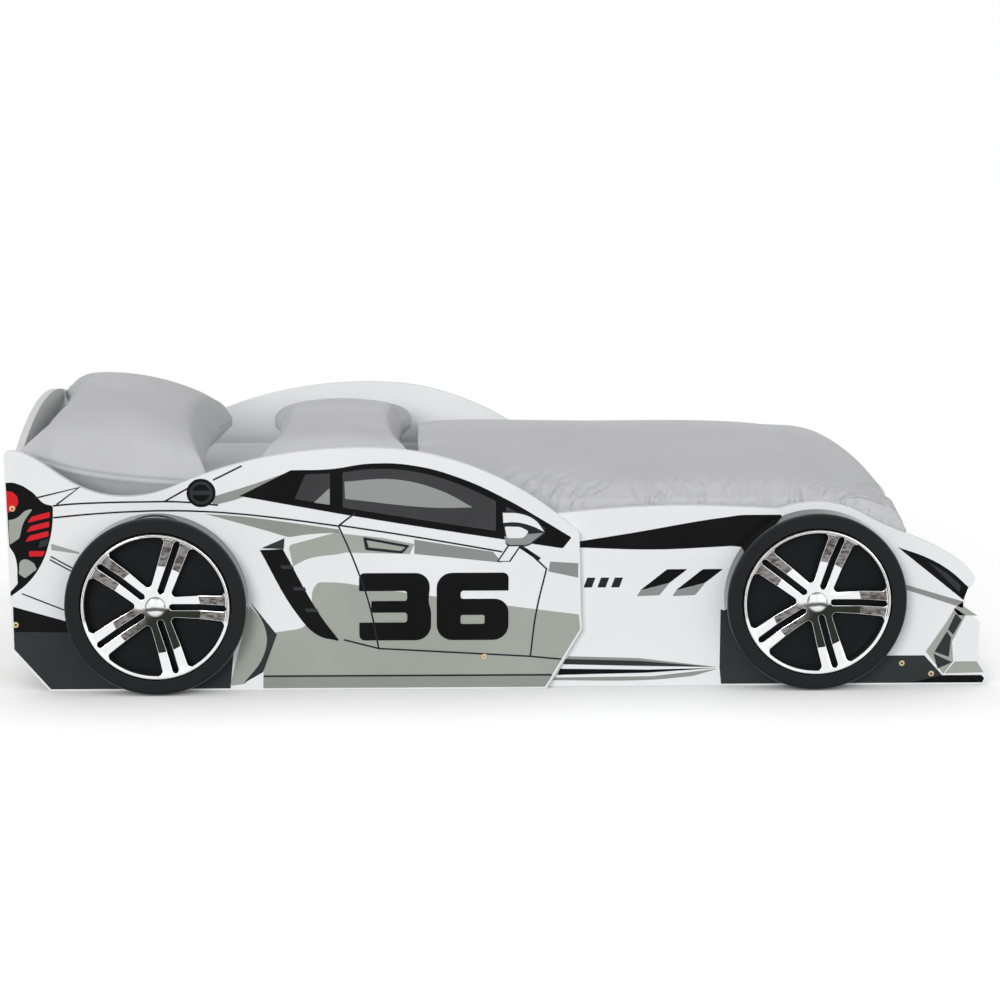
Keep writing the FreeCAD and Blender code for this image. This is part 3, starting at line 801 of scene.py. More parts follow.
@dataclass
class SidePrint:
    """The picture printed on the sides: windows, lamps, door lines and a start number."""

    number_x: float = -148
    digit_wide: float = 156
    digit_high: float = 150
    digit_low: float = 110
    digit_gap: float = 12
    line_wide: float = 3.6
    rear: list[Patch] = field(default_factory=list)
    front: list[Patch] = field(default_factory=list)

    def build(self) -> None:
        """Lay the print on all four boards."""
        for side in Side:
            self.rear, self.front = [], []
            self.tail()
            self.body_shades()
            self.windows()
            self.door()
            self.vent()
            self.mirror()
            self.number(side)
            self.wing()
            self.nose()
            for word, patches in (("rear", self.rear), ("front", self.front)):
                low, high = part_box(f"side_{word}_{side.word}")
                face = high.y if side is Side.LEFT else low.y
                FilmSheet(f"print_{word}_{side.word}", face, side).build(patches)

    def seam(self, where: list[Patch], *spots: Spot, rank: int = 5, width: float | None = None) -> None:
        """Draw a panel line."""
        where.append(line(Ink.LINE, rank, width or self.line_wide, *spots))

    def area(self, where: list[Patch], ink: Ink, rank: int, *spots: Spot) -> None:
        """Draw an area."""
        where.append(Patch(ink, rank, spots))

    def tail(self) -> None:
        """The tail lamp, the dark tail skirt and the lines round the tail."""
        at = self.rear
        skirt = (-1058, 189), (-944, 156), (-700, 150), (-577, 152), (-591, 4), (-981, 4), (-1058, 94)
        self.area(at, Ink.SLATE, 0, *skirt)
        self.area(at, Ink.BLACK, 1, (-1058, 189), (-944, 156), (-940, 131), (-1058, 133))
        # lamp housing: a black cheek that narrows downwards
        cheek = (
            (-1066, 462), (-1046, 461, 0), (-1012, 443, 0), (-984, 416, 0), (-966, 411, 4), (-968, 372, 0),
            (-976, 332, 0), (-994, 284, 0), (-1024, 242, 0), (-1062, 212), (-1062.5, 222), (-1046, 240, 4),
            (-1050, 300, 0), (-1062, 322), (-1064, 392),
        )
        self.area(at, Ink.BLACK, 1, *cheek)
        self.area(
            at, Ink.RED, 2, (-1065.4, 444), (-1050, 440, 0), (-1040, 422, 0), (-1050, 403, 0), (-1064.6, 396),
        )
        crescent = (
            (-1062, 380), (-1046, 384, 0), (-1022, 402, 0), (-1010, 404, 3), (-1030, 374, 0), (-1040, 340, 4),
        )
        self.area(at, Ink.SAGE, 2, *crescent, (-1061, 326))
        for step in range(3):
            drop = 21 * step
            left, right = -1022 - 3 * step, -973 - 2 * step
            bar = (
                (left, 374 - drop, 4), (left + 10, 388 - drop, 3), (right, 398 - drop, 2),
                (right, 386 - drop, 2),
            )
            self.area(at, Ink.RED, 3, *bar)
        self.area(at, Ink.SLATE, 3, (-996, 334, 3), (-976, 340, 3), (-982, 324, 3), (-1000, 318, 3))
        self.area(at, Ink.RED, 3, (-1020, 312, 3), (-985, 312, 3), (-991, 300, 3), (-1020, 300, 3))
        self.area(
            at, Ink.SAGE, 2, (-1044, 262, 4), (-1036, 292, 0), (-1012, 286, 0), (-1004, 272, 3),
            (-1030, 252, 3),
        )
        # lines round the tail
        self.seam(
            at, (-966, 411), (-930, 414.5, 0), (-860, 417.5, 0), (-775, 419, 0), (-690, 418.5, 0),
            (-612, 411),
        )
        self.seam(at, (-1004, 428), (-909, 451), (-958, 414))
        self.seam(at, (-726, 420), (-677, 448))
        self.seam(at, (-622, 466), (-560, 497))
        self.seam(
            at, (-966, 385), (-905, 391, 0), (-851, 395, 0), (-790, 398, 0), (-732, 399.5, 0), (-655, 398, 0),
            (-580, 393, 0), (-480, 382, 0), (-352, 364),
        )
        self.area(at, Ink.SAGE, 1, (-972, 328), (-912, 309), (-912, 305), (-972, 314))
        for start, end in (
            ((-974, 300), (-928, 274)), ((-976, 293), (-930, 267)), ((-1038, 218), (-945, 180)),
        ):
            self.seam(at, start, end, width=3)
        # round filler cap
        for ink, rank, radius in ((Ink.BLACK, 6, 31), (Ink.SLATE, 7, 25), (Ink.BLACK, 8, 19)):
            self.area(at, ink, rank, *disc(-648, 438, radius))
        self.area(at, Ink.SLATE, 9, (-671, 443), (-625, 443), (-625, 434), (-671, 434))

    def body_shades(self) -> None:
        """Greenish grey areas low on the body and behind the windows."""
        at = self.rear
        sill = (
            (-500, 128), (-416, 140, 30), (-402, 236, 0), (-380, 240, 0), (-250, 222, 0), (-60, 196, 0),
            (60, 180, 0), (167, 166), (170.5, 134), (94, 4), (-520, 4), (-519, 40),
        )
        self.area(at, Ink.SAGE, 0, *sill)
        self.area(at, Ink.SHADE, 1, (94, 4), (-520, 4), (-519, 30), (110.5, 30))
        self.seam(at, (-519, 31), (109, 31), rank=3, width=4)
        # shading under the belt line
        belt = (-640, 392), (-560, 386, 0), (-470, 374, 0), (-352, 357), (-352, 350), (-420, 346, 0)
        self.area(at, Ink.SHADE, 0, *belt, (-462, 340, 6), (-500, 352, 0))
        self.area(
            at, Ink.SAGE, 0, (-462, 322, 8), (-352, 352), (-300, 318), (-344, 304, 12), (-420, 292, 0),
            (-452, 276),
        )
        self.area(at, Ink.SHADE, 0, (-622, 411), (-560, 428, 0), (-452, 486), (-520, 462, 0), (-628, 428))
        # shades behind the rear wheel
        self.area(
            at, Ink.SAGE, 1, (-548, 188), (-524, 160, 0), (-508, 120, 0), (-520, 60, 0), (-560, 14),
            (-592, 10),
        )
        self.area(
            at, Ink.SLATE, 2, (-545, 196), (-489, 124), (-520, 40), (-562, 16), (-520, 74, 0), (-512, 128, 0),
        )

    def windows(self) -> None:
        """The black window band and its three panes."""
        at = self.rear
        band = (
            (-566, 431), (-455, 487), (-372, 489, 0), (-282, 501, 0), (-190, 496, 0), (-90, 468, 0),
            (10, 421, 0), (90, 374, 0), (150, 337, 3), (131, 313, 3), (-2, 334), (-190, 364, 0), (-350, 391),
        )
        self.area(at, Ink.BLACK, 2, *band)
        self.area(at, Ink.PANE, 3, (-424, 478, 5), (-371, 480, 2), (-371, 412, 2), (-448, 424, 4))
        self.area(at, Ink.GLINT, 4, (-406, 416, 2), (-372, 411, 2), (-372, 448, 2))
        pane = (
            (-344, 482, 3), (-282, 489, 0), (-190, 483, 0), (-96, 456, 0), (-14, 418, 3), (-14, 352, 3),
            (-180, 378, 0), (-344, 405, 3),
        )
        self.area(at, Ink.PANE, 3, *pane)
        glint = (-340, 462, 2), (-230, 466, 0), (-130, 440, 0), (-64, 404, 3), (-150, 404, 0), (-339, 424, 2)
        self.area(at, Ink.GLINT, 4, *glint)
        self.area(at, Ink.PANE, 3, (8, 406, 3), (96, 356, 3), (8, 352, 3))

    def door(self) -> None:
        """Door lines, the belt line and the door handle."""
        at = self.rear
        self.seam(at, (-352, 366), (-190, 340, 0), (0, 306))
        self.seam(at, (-352, 366), (-316, 394))
        self.seam(at, (-354, 366), (-318, 280, 0), (-288, 190, 0), (-268, 92))
        self.seam(at, (-344, 112), (-268, 92), (60, 73), (130, 66))
        self.seam(at, (62, 73), (74, 170, 0), (96, 268), (50, 312))
        handle = (-301, 340, 3), (-200, 321, 3), (-216, 303, 3), (-296, 311, 3)
        opening = (-293, 333, 2), (-209, 317, 2), (-219, 309, 2), (-289, 317, 2)
        at.append(Patch(Ink.LINE, 4, handle, (opening,)))
        self.area(at, Ink.SAGE, 1, (-352, 348), (-260, 338), (-190, 324), (-200, 302), (-342, 306))
        self.area(at, Ink.MIDDLE, 1, (-190, 334), (-20, 306), (0, 282), (-190, 302))
        self.area(at, Ink.MIDDLE, 1, (104, 284), (165, 280), (165, 248), (100, 262))

    def vent(self) -> None:
        """The slanted air intake before the rear wheel."""
        at = self.rear
        self.area(
            at, Ink.BLACK, 2, (-524, 312), (-474, 314), (-394, 166, 0), (-352, 108, 8), (-400, 122, 0),
            (-438, 160, 0),
        )
        self.area(at, Ink.SLATE, 3, (-521, 316), (-470, 338), (-472, 314))
        for step in range(3):
            x, z = -462 + 26 * step, 270 - 48 * step
            self.area(at, Ink.SLATE, 3, (x - 18, z + 8), (x + 8, z + 8), (x + 12, z), (x - 14, z))

    def mirror(self) -> None:
        """The door mirror on its arm."""
        at = self.rear
        self.area(at, Ink.LINE, 5, (14, 324), (44, 324), (18, 284), (-12, 284))
        self.area(at, Ink.WHITE, 6, (17, 322), (39, 322), (15, 286), (-7, 286))
        self.area(at, Ink.LINE, 5, (40, 322), (84, 292), (78, 286), (34, 316))
        self.area(
            at, Ink.LINE, 7, (-2, 395), (38, 393, 0), (72, 379, 0), (95, 347, 5), (56, 318, 8), (8, 318, 8),
        )
        self.area(at, Ink.MIDDLE, 8, (4, 340), (90, 348, 3), (56, 321, 8), (10, 321, 8))
        self.area(
            at, Ink.WHITE, 8, (1, 392), (37, 390, 0), (70, 376, 0), (91, 350), (60, 364, 0), (30, 371, 0),
            (2, 370),
        )
        self.area(at, Ink.WHITE, 9, (5, 362, 3), (38, 361, 4), (58, 351, 6), (46, 336, 7), (10, 336, 5))

    def number(self, side: Side) -> None:
        """The start number, which reads from left to right on both sides."""
        w, h = self.digit_wide, self.digit_high
        bar, stem = 40, 52
        centre = h / 2
        three = (
            (0, h, 12), (w, h, 34), (w - 6, centre + 8, 10), (w, centre - 6, 10), (w, 0, 34), (0, 0, 12),
            (0, bar, 2), (w - stem, bar, 6), (w - stem, centre - 13, 6), (26, centre - 13, 4),
            (26, centre + 13, 4), (w - stem, centre + 13, 6), (w - stem, h - bar, 6), (0, h - bar, 2),
        )
        six = (
            (0, h, 34), (w, h, 12), (w, h - bar, 2), (stem, h - bar, 6), (stem, centre + 17, 6),
            (w, centre + 17, 30), (w, 0, 34), (0, 0, 34),
        )
        eye = (
            (stem, bar - 4, 4), (w - stem, bar - 4, 4), (w - stem, centre - 19, 4), (stem, centre - 19, 4),
        )
        turn = 1 if side is Side.RIGHT else -1
        start = -(w + self.digit_gap / 2)
        for digit, (edge, holes) in enumerate(((three, ()), (six, (eye,)))):
            shift = start + digit * (w + self.digit_gap)
            edge, *holes = (
                tuple((self.number_x + turn * (x + shift), self.digit_low + z, r) for x, z, r in spots)
                for spots in (edge, *holes)
            )
            self.rear.append(Patch(Ink.BLACK, 4, edge, tuple(holes)))

    def wing(self) -> None:
        """The stripe over the wing, its louvres and the sill before the front wheel."""
        at = self.front
        stripe = (
            (169, 325), (300, 346, 0), (430, 369, 0), (520, 382, 10), (606, 382), (620, 300), (500, 313),
            (330, 306, 0), (169, 311),
        )
        self.area(at, Ink.BLACK, 1, *stripe)
        for step in range(2):
            x = 300 + 78 * step
            self.area(at, Ink.BLACK, 2, (x, 214, 3), (x + 60, 262, 3), (x + 104, 262, 3), (x + 66, 232, 3))
            self.area(at, Ink.MIDDLE, 1, (x - 6, 202, 3), (x + 2, 214, 3), (x + 66, 232, 3), (x + 44, 204, 3))
        for step in range(3):
            x = 186 + 30 * step
            self.area(at, Ink.LINE, 1, (x, 244), (x + 18, 244), (x + 10, 222), (x - 8, 222))
        self.area(at, Ink.SHADE, 1, (146, 68), (300, 63), (474, 42), (300, 45), (134, 50))
        self.area(at, Ink.SLATE, 2, (140, 62), (300, 57), (472, 42), (300, 46), (134, 50))
        self.area(at, Ink.BLACK, 2, (128, 40), (320, 37), (474, 40), (320, 30), (122, 26))
        self.area(at, Ink.SHADE, 1, (116, 20), (330, 22), (474, 38), (420, 22, 10), (330, 14, 0), (112, 14))

    def nose(self) -> None:
        """The dark skirt under the front wheel, the head lamp, the air intake and the splitter."""
        at = self.front
        skirt = (
            (478, 172), (520, 160), (800, 66), (928, 66), (970, 20), (1055, 20), (1062, 14), (1058, 4),
            (482, 4), (478, 40),
        )
        self.area(at, Ink.SLATE, 0, *skirt)
        self.area(at, Ink.BLACK, 1, (968, 21), (1055, 21), (1062, 14), (1058, 4), (900, 4))
        self.area(at, Ink.BLACK, 2, (862, 309), (930, 284, 0), (978, 256, 0), (1020, 219), (1010, 190))
        self.area(at, Ink.SLATE, 3, (930, 276), (972, 250, 0), (1004, 222), (1000, 208))
        self.area(at, Ink.MIDDLE, 1, (866, 230), (1009, 187), (1010, 172), (868, 219))
        self.area(at, Ink.SAGE, 1, (1009, 187), (1011, 176), (1042, 155), (1000, 156), (989, 170))
        grille = (992, 172), (974, 140), (931, 75), (971, 24), (992, 52), (988, 96), (1016, 156)
        self.area(at, Ink.SAGE, 1, *grille)
        self.area(at, Ink.SLATE, 2, (994, 160), (978, 124), (990, 112), (1008, 146))
        self.area(at, Ink.SLATE, 2, (976, 120), (950, 74), (982, 62), (986, 106))
        self.area(at, Ink.SLATE, 3, (948, 70), (958, 36), (990, 50))
        self.area(at, Ink.SAGE, 1, (996, 52), (1044, 52), (1060, 27), (974, 25))


# ---------------------------------------------------------------- boards, base and wheels


@dataclass
class Bedstead:
    """The boards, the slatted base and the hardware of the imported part."""

    sides: tuple[str, ...] = ("side_rear", "side_front")
    crossings: tuple[str, ...] = ("headboard", "footboard", "middle_beam", "nose_tie")
    screw_radius: float = 0.0035

    def build(self) -> None:
        """Dress the boards, the wood and the metal."""
        hands = [side.word for side in Side]
        names = list(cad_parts)
        dress([f"{part}_{hand}" for part in self.sides for hand in hands], WHITE_BOARD)
        dress(self.crossings, PLAIN_BOARD)
        dress([n for n in names if n.startswith("slat_")], Timber("pine_slats", 1))
        dress([n for n in names if n.startswith("rail_") or n == "middle_rail"], Timber("pine_rails", 0))
        brackets = Plated("zinc_brackets", (0.62, 0.63, 0.65), (0.5, 0.51, 0.54), 0.34)
        dress([n for n in names if n.startswith("bracket_")], brackets)
        bolts = Plated("brass_bolts", (0.72, 0.57, 0.33), (0.5, 0.4, 0.26), 0.26)
        dress([n for n in names if n.startswith("bolt_")], bolts)
        self.slat_screws()

    def slat_screws(self) -> None:
        """Countersunk screw heads that hold the slats to the rails."""
        bm = bmesh.new()
        for name in sorted(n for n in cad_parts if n.startswith("slat_")):
            low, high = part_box(name)
            for rail in ("rail_right", "rail_left", "middle_rail"):
                under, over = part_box(rail)
                at = Vector(((low.x + high.x) / 2, (under.y + over.y) / 2, high.z))
                head = bmesh.ops.create_circle(bm, cap_ends=True, segments=12, radius=self.screw_radius)
                bmesh.ops.translate(bm, verts=head["verts"], vec=at)
                face = head["verts"][0].link_faces[0]
                bmesh.ops.inset_region(bm, faces=[face], thickness=0.0009, depth=0.0006)
                bmesh.ops.inset_region(bm, faces=[face], thickness=0.0011, depth=-0.0005)
        finish = Plated("zinc_screws", (0.6, 0.6, 0.62), (0.42, 0.42, 0.45), 0.36)
        keep("slat_screws", to_mesh("slat_screws", bm), [finish], Body.FRAME)


@dataclass
class WheelSet:
    """The four wheel covers.

    valley is the radius where the trim's faces turn, edge_wide the width of its rounded edges and
    sharp the angle, in degrees, from which an edge is rounded; flat joins faces below it.
    """

    valley: float = 0.096
    edge_wide: float = 0.0009
    sharp: float = 24
    flat: float = 0.6
    front_share: float = 0.55

    def build(self) -> None:
        """Dress the covers, the dishes and the caps, and round the trims' edges."""
        low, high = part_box("tyre_rear_right")
        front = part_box("tyre_front_right")
        axles = Axles((low.x + high.x) / 2, (front[0].x + front[1].x) / 2, (low.z + high.z) / 2)
        cap_low, cap_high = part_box("wheel_cap_rear_right")
        dome = Dome("chrome_cap", axles, (cap_high.x - cap_low.x) / 2)
        chrome = Chrome("chrome_trim", axles, self.valley)
        for end in ("rear", "front"):
            outer = -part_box(f"tyre_{end}_right")[0].y
            hands = [side.word for side in Side]
            dress([f"tyre_{end}_{hand}" for hand in hands], TyrePlastic(f"tyre_plastic_{end}", outer))
            dress([f"wheel_plate_{end}_{hand}" for hand in hands], DarkPlastic("dish_plastic"))
            dress([f"wheel_cap_{end}_{hand}" for hand in hands], dome)
            for hand in hands:
                self.trim(f"{end}_{hand}", chrome)

    def trim(self, place: str, chrome: Finish) -> None:
        """Round the edges of one packed trim, which then shine as thin bright lines.

        Args:
            place: The wheel's end and side.
            chrome: The finish of the trim's faces.
        """
        name, node = f"trim_{place}", f"wheel_trim_{place}"
        bm = welded_copy(node)
        bmesh.ops.dissolve_limit(
            bm, angle_limit=math.radians(self.flat), use_dissolve_boundaries=False, verts=bm.verts,
            edges=bm.edges,
        )
        bm.normal_update()
        low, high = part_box(node)
        face = max(abs(low.y), abs(high.y))
        depth = abs(high.y - low.y)
        edges = [
            e
            for e in bm.edges
            if e.is_manifold
            and e.calc_face_angle() > math.radians(self.sharp)
            and all(abs(v.co.y) > face - depth * self.front_share for v in e.verts)
        ]
        made = bmesh.ops.bevel(
            bm, geom=edges, offset=self.edge_wide, segments=2, affect="EDGES", profile=0.5, material=-1,
            clamp_overlap=False, loop_slide=False,
        )
        LOG.info("%s: %d edges rounded into %d faces", node, len(edges), len(made["faces"]))
        for rounded in made["faces"]:
            rounded.material_index = 1
        finishes = [chrome, Polished("chrome_edge")]
        mesh = to_mesh(name, bm)
        piece = keep(name, mesh, finishes, Body.FRAME, smooth=False)
        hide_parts(node)


# ---------------------------------------------------------------- soft goods


def apply(piece: bpy.types.Object, kind: str, **settings: object) -> None:
    """Add a modifier and apply it.

    Args:
        piece: The active object.
        kind: The modifier's type.
        settings: Its settings.
    """
    made = piece.modifiers.new(kind.lower(), kind)
    for name, value in settings.items():
        setattr(made, name, value)
    bpy.ops.object.modifier_apply(modifier=made.name)


@dataclass(frozen=True)
class Air:
    """How a closed form is meshed evenly and filled with air as cloth.

    No point moves farther than the cap, and drawn_in is the share of the cap by which the form is
    drawn in before it swells.
    """

    voxel: float
    pressure: float
    cap: float
    drawn_in: float = 0.7
    frames: int = 20
    quality: int = 4
    mass: float = 0.3
    tension: float = 12
    compression: float = 6
    bending: float = 0.4

    def swell(self, name: str, source: bmesh.types.BMesh) -> bpy.types.Object:
        """Mesh a form evenly, fill it with air, keep the shape it takes and refine it.

        Args:
            name: The new object's name.
            source: The form, which is used up.

        Returns:
            An object that is not yet a piece.
        """
        piece = bpy.data.objects.new(name, to_mesh(name, source))
        bpy.context.scene.collection.objects.link(piece)
        for other in bpy.context.selected_objects:
            other.select_set(False)
        bpy.context.view_layer.objects.active = piece
        piece.select_set(True)
        apply(piece, "REMESH", mode="VOXEL", voxel_size=self.voxel)
        self.blow(piece)
        apply(piece, "SUBSURF", levels=1, render_levels=1)
        return piece

    def blow(self, piece: bpy.types.Object) -> None:
        """Run the cloth and keep what it reaches within the cap."""
        drawn = rows_of(piece.data, "normal") * (self.cap * self.drawn_in)
        rest = rows_of(piece.data) - drawn
        put_rows(piece.data, rest)
        cloth = piece.modifiers.new("air", "CLOTH")
        cloth.settings.quality = self.quality
        cloth.settings.mass = self.mass
        cloth.settings.tension_stiffness = self.tension
        cloth.settings.compression_stiffness = self.compression
        cloth.settings.bending_stiffness = self.bending
        cloth.settings.use_pressure = True
        cloth.settings.uniform_pressure_force = self.pressure
        cloth.settings.effector_weights.gravity = 0
        cloth.point_cache.frame_end = self.frames
        scene = bpy.context.scene
        for step in range(1, self.frames + 1):
            scene.frame_set(step)
        grown = piece.evaluated_get(bpy.context.evaluated_depsgraph_get()).data
        moved = rows_of(grown) - rest
        reach = np.linalg.norm(moved, axis=1, keepdims=True)
        moved *= np.minimum(1, self.cap / np.maximum(reach, 1e-9))
        piece.modifiers.remove(cloth)
        scene.frame_set(1)
        put_rows(piece.data, rest + moved)


def pad(body: Body, mesh: bpy.types.Mesh, finish: Finish) -> None:
    """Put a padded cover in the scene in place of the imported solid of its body.

    Args:
        body: The soft piece's body, whose one node has the same name.
        mesh: The cover's mesh.
        finish: Its cloth.
    """
    piece = keep(f"{body.value}_cover", mesh, [finish], body)
    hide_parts(body.value)


def away(points: np.ndarray, path: Sequence[Sequence[float]]) -> tuple[np.ndarray, np.ndarray]:
    """How far points lie from a run, seen from above.

    Args:
        points: Rows whose first two columns are X and Y.
        path: The run's points.

    Returns:
        The distance of each point, and its share of the way along the run.
    """
    best = np.full(len(points), 1e9)
    share = np.zeros(len(points))
    ends = [np.array(spot[:2], float) for spot in path]
    for place, (start, end) in enumerate(zip(ends, ends[1:])):
        span = end - start
        along = np.clip(((points[:, :2] - start) @ span) / (span @ span), 0, 1)
        gap = np.linalg.norm(points[:, :2] - start - along[:, None] * span, axis=1)
        near = gap < best
        best = np.where(near, gap, best)
        share = np.where(near, (place + along) / (len(ends) - 1), share)
    return best, share


def ramp(values: np.ndarray, low: float, high: float) -> np.ndarray:
    """A soft step from 0 at low to 1 at high."""
    share = np.clip((values - low) / (high - low), 0, 1)
    return share * share * (3 - 2 * share)


def bell(values: np.ndarray, middle: float, wide: float) -> np.ndarray:
    """A bell curve that is 1 at its middle."""
    return np.exp(-(((values - middle) / wide) ** 2))


@dataclass
class Mattress:
    """The foam mattress in its smooth white cover, with piping round both faces."""

    corner: float = 0.045
    edge: float = 0.018
    piping: float = 0.0035
    patch: float = 0.045
    uneven: float = 0.0008
    belly: float = 0.0012

    def build(self) -> None:
        """Make the mattress."""
        low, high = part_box(Body.MATTRESS.value)
        size, middle = high - low, (low + high) / 2
        bm = bmesh.new()
        form(bm, bmesh.ops.create_cube(bm, size=1), size, middle)
        upright = [e for e in bm.edges if abs((e.verts[0].co - e.verts[1].co).z) > 0.01]
        settings = dict(
            affect="EDGES", profile=0.5, material=-1, offset_type="OFFSET", clamp_overlap=True
        )
        bmesh.ops.bevel(bm, geom=upright, offset=self.corner, segments=8, **settings)
        rims = [e for e in bm.edges if any(abs(f.normal.z) > 0.9 for f in e.link_faces)]
        bmesh.ops.bevel(bm, geom=rims, offset=self.edge, segments=4, **settings)
        for axis, normal in enumerate((Vector((1, 0, 0)), Vector((0, 1, 0)))):
            cuts = round(size[axis] / self.patch)
            for step in range(1, cuts):
                at = middle.copy()
                at[axis] = low[axis] + size[axis] * step / cuts
                geom = bm.verts[:] + bm.edges[:] + bm.faces[:]
                bmesh.ops.bisect_plane(bm, geom=geom, plane_co=at, plane_no=normal)
        self.settle(bm, low, high)
        mesh = to_mesh("mattress_cover", bm)
        pad(Body.MATTRESS, mesh, WHITE_TICKING)
        for word, level in (("low", low.z + self.edge), ("high", high.z - self.edge)):
            self.welt(f"mattress_piping_{word}", low, high, level)

    def settle(self, bm: bmesh.types.BMesh, low: Vector, high: Vector) -> None:
        """Give the walls a slight belly and the top a slight unevenness."""
        middle = (low.z + high.z) / 2
        for vert in bm.verts:
            share = 1 - abs(vert.co.z - middle) / (middle - low.z)
            wave = math.sin(vert.co.x * 13) * math.sin(vert.co.y * 17 + 1)
            if vert.co.z > high.z - 0.002:
                vert.co.z -= self.uneven * (1 + wave)
            elif share > 0.3:
                inward = self.belly * (1 + math.sin(vert.co.x * 31))
                vert.co.y -= math.copysign(inward, vert.co.y)

    def welt(self, name: str, low: Vector, high: Vector, level: float) -> None:
        """Sew a piping cord round the mattress.

        Args:
            name: The piece's name.
            low: The mattress's lowest corner.
            high: Its highest corner.
            level: The cord's height.
        """
        reach = self.corner - self.piping * 0.35
        curve = bpy.data.curves.new(name, "CURVE")
        curve.dimensions = "3D"
        curve.bevel_depth = self.piping
        curve.bevel_resolution = 2
        spline = curve.splines.new("POLY")
        spline.use_cyclic_u = True
        ring = []
        for cx, cy, start in ((1, 1, 0), (-1, 1, 90), (-1, -1, 180), (1, -1, 270)):
            middle = Vector((high.x if cx > 0 else low.x, high.y if cy > 0 else low.y, level))
            middle -= Vector((cx, cy, 0)) * self.corner
            for step in range(9):
                turn = math.radians(start + step * 90 / 8)
                ring.append(middle + Vector((math.cos(turn), math.sin(turn), 0)) * reach)
        spline.points.add(len(ring) - 1)
        for point, at in zip(spline.points, ring):
            point.co = (*at, 1)
        bm = solid(curve)
        bmesh.ops.remove_doubles(bm, verts=bm.verts, dist=0.00001)
        bmesh.ops.recalc_face_normals(bm, faces=bm.faces)
        keep(name, to_mesh(name, bm), [PIPING_WHITE], Body.MATTRESS)


@dataclass
class Pillow:
    """A filled pillow with drawn-in sides, pointed corners and a seam all round.

    It lies tilted about Y and leaning about X, in degrees, and slack is how far its side wall
    sinks. The rest are lengths: the seam's groove and the lips beside it, how far the shoulders
    rise and the corners reach out, the creases and the small tucks along the seam.
    """

    body: Body
    tilt: float = 0
    lean: float = 0
    slack: float = 0
    air: Air = Air(voxel=0.0065, pressure=4.5, cap=0.007)
    fill: float = 0.75
    groove: float = 0.0026
    groove_wide: float = 0.0032
    lip: float = 0.0012
    lip_out: float = 0.009
    lip_wide: float = 0.005
    plump: float = 0.005
    point: float = 0.018
    crease: float = 0.0016
    tuck: float = 0.0006
    tuck_out: float = 0.02
    tuck_wide: float = 0.018
    spare: float = 0.0015

    def build(self) -> None:
        """Make the pillow."""
        node = self.body.value
        low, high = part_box(node)
        piece = self.air.swell(f"{node}_cover", welded_copy(node))
        self.sew(piece, low, high)
        mesh = piece.data
        bpy.data.objects.remove(piece)
        pad(self.body, mesh, GREY_COTTON)

    def sew(self, piece: bpy.types.Object, low: Vector, high: Vector) -> None:
        """Press the seam in, crease the corners and rest the pillow on the mattress.

        Args:
            piece: The swollen pillow.
            low: The lowest corner of its room.
            high: The highest corner of its room.
        """
        rows = rows_of(piece.data)
        out = rows_of(piece.data, "normal")
        tilt = Matrix.Rotation(math.radians(self.tilt), 3, "Y")
        turn = tilt @ Matrix.Rotation(math.radians(self.lean), 3, "X")
        flat = (rows - np.array((low + high) / 2)) @ np.array(turn.inverted()).T
        level = self.seam_level(flat)
        gap = np.abs(flat[:, 2] - level)
        rows -= out * (self.groove * bell(gap, 0, self.groove_wide))[:, None]
        rows += out * (self.lip * bell(gap, self.lip_out, self.lip_wide))[:, None]
        half_x, half_y = flat[:, 0].max(), flat[:, 1].max()
        share_x, share_y = np.abs(flat[:, 0]) / half_x, np.abs(flat[:, 1]) / half_y
        edge, corner = np.maximum(share_x, share_y), np.minimum(share_x, share_y)
        rows[:, :2] += np.sign(flat[:, :2]) * (self.point * ramp(corner, 0.7, 1))[:, None]
        shoulder = ramp(edge, 0.3, 0.78) * (1 - ramp(edge, 0.86, 0.99))
        rows[:, 2] += self.plump * shoulder * np.where(flat[:, 2] > level, 1, -0.4)
        along = np.clip((flat[:, 0] / half_x + 1) / 2, 0, 1) ** 0.6
        rows[:, 2] -= self.slack * np.sin(np.pi * along) * ramp(-flat[:, 1] / half_y, 0.45, 1)
        angle = np.arctan2(np.abs(flat[:, 1]) - half_y * 0.45, np.abs(flat[:, 0]) - half_x * 0.3)
        folds = np.sin(angle * 26 + np.sin(edge * 9) * 1.2)
        folds = folds * ramp(corner, 0.45, 0.95) * ramp(edge, 0.5, 0.9)
        rows += out * (self.crease * folds)[:, None]
        tucks = np.sin(flat[:, 1] * 95 + 2 * np.sin(flat[:, 1] * 23))
        rows += out * (self.tuck * tucks * bell(gap, self.tuck_out, self.tuck_wide))[:, None]
        rows[:, 2] = np.maximum(rows[:, 2], low.z + 0.0003 * ramp(edge, 0, 1))
        least, most = np.array(low)[:2] - self.spare, np.array(high)[:2] + self.spare
        rows[:, :2] = np.clip(rows[:, :2], least, most)
        put_rows(piece.data, rows)

    def seam_level(self, flat: np.ndarray) -> float:
        """The seam's height in the pillow's own frame: where its outline is widest."""
        rim = np.abs(flat[:, 1]) > flat[:, 1].max() - 0.012
        return float(flat[rim, 2].mean())


@dataclass(frozen=True)
class Gather:
    """A run of creases along the duvet's sides.

    start is its share of the duvet's length, count how many it has, lean how far forward each one
    runs for its length, and reach its greatest length.
    """

    start: float
    count: int
    lean: float
    reach: float


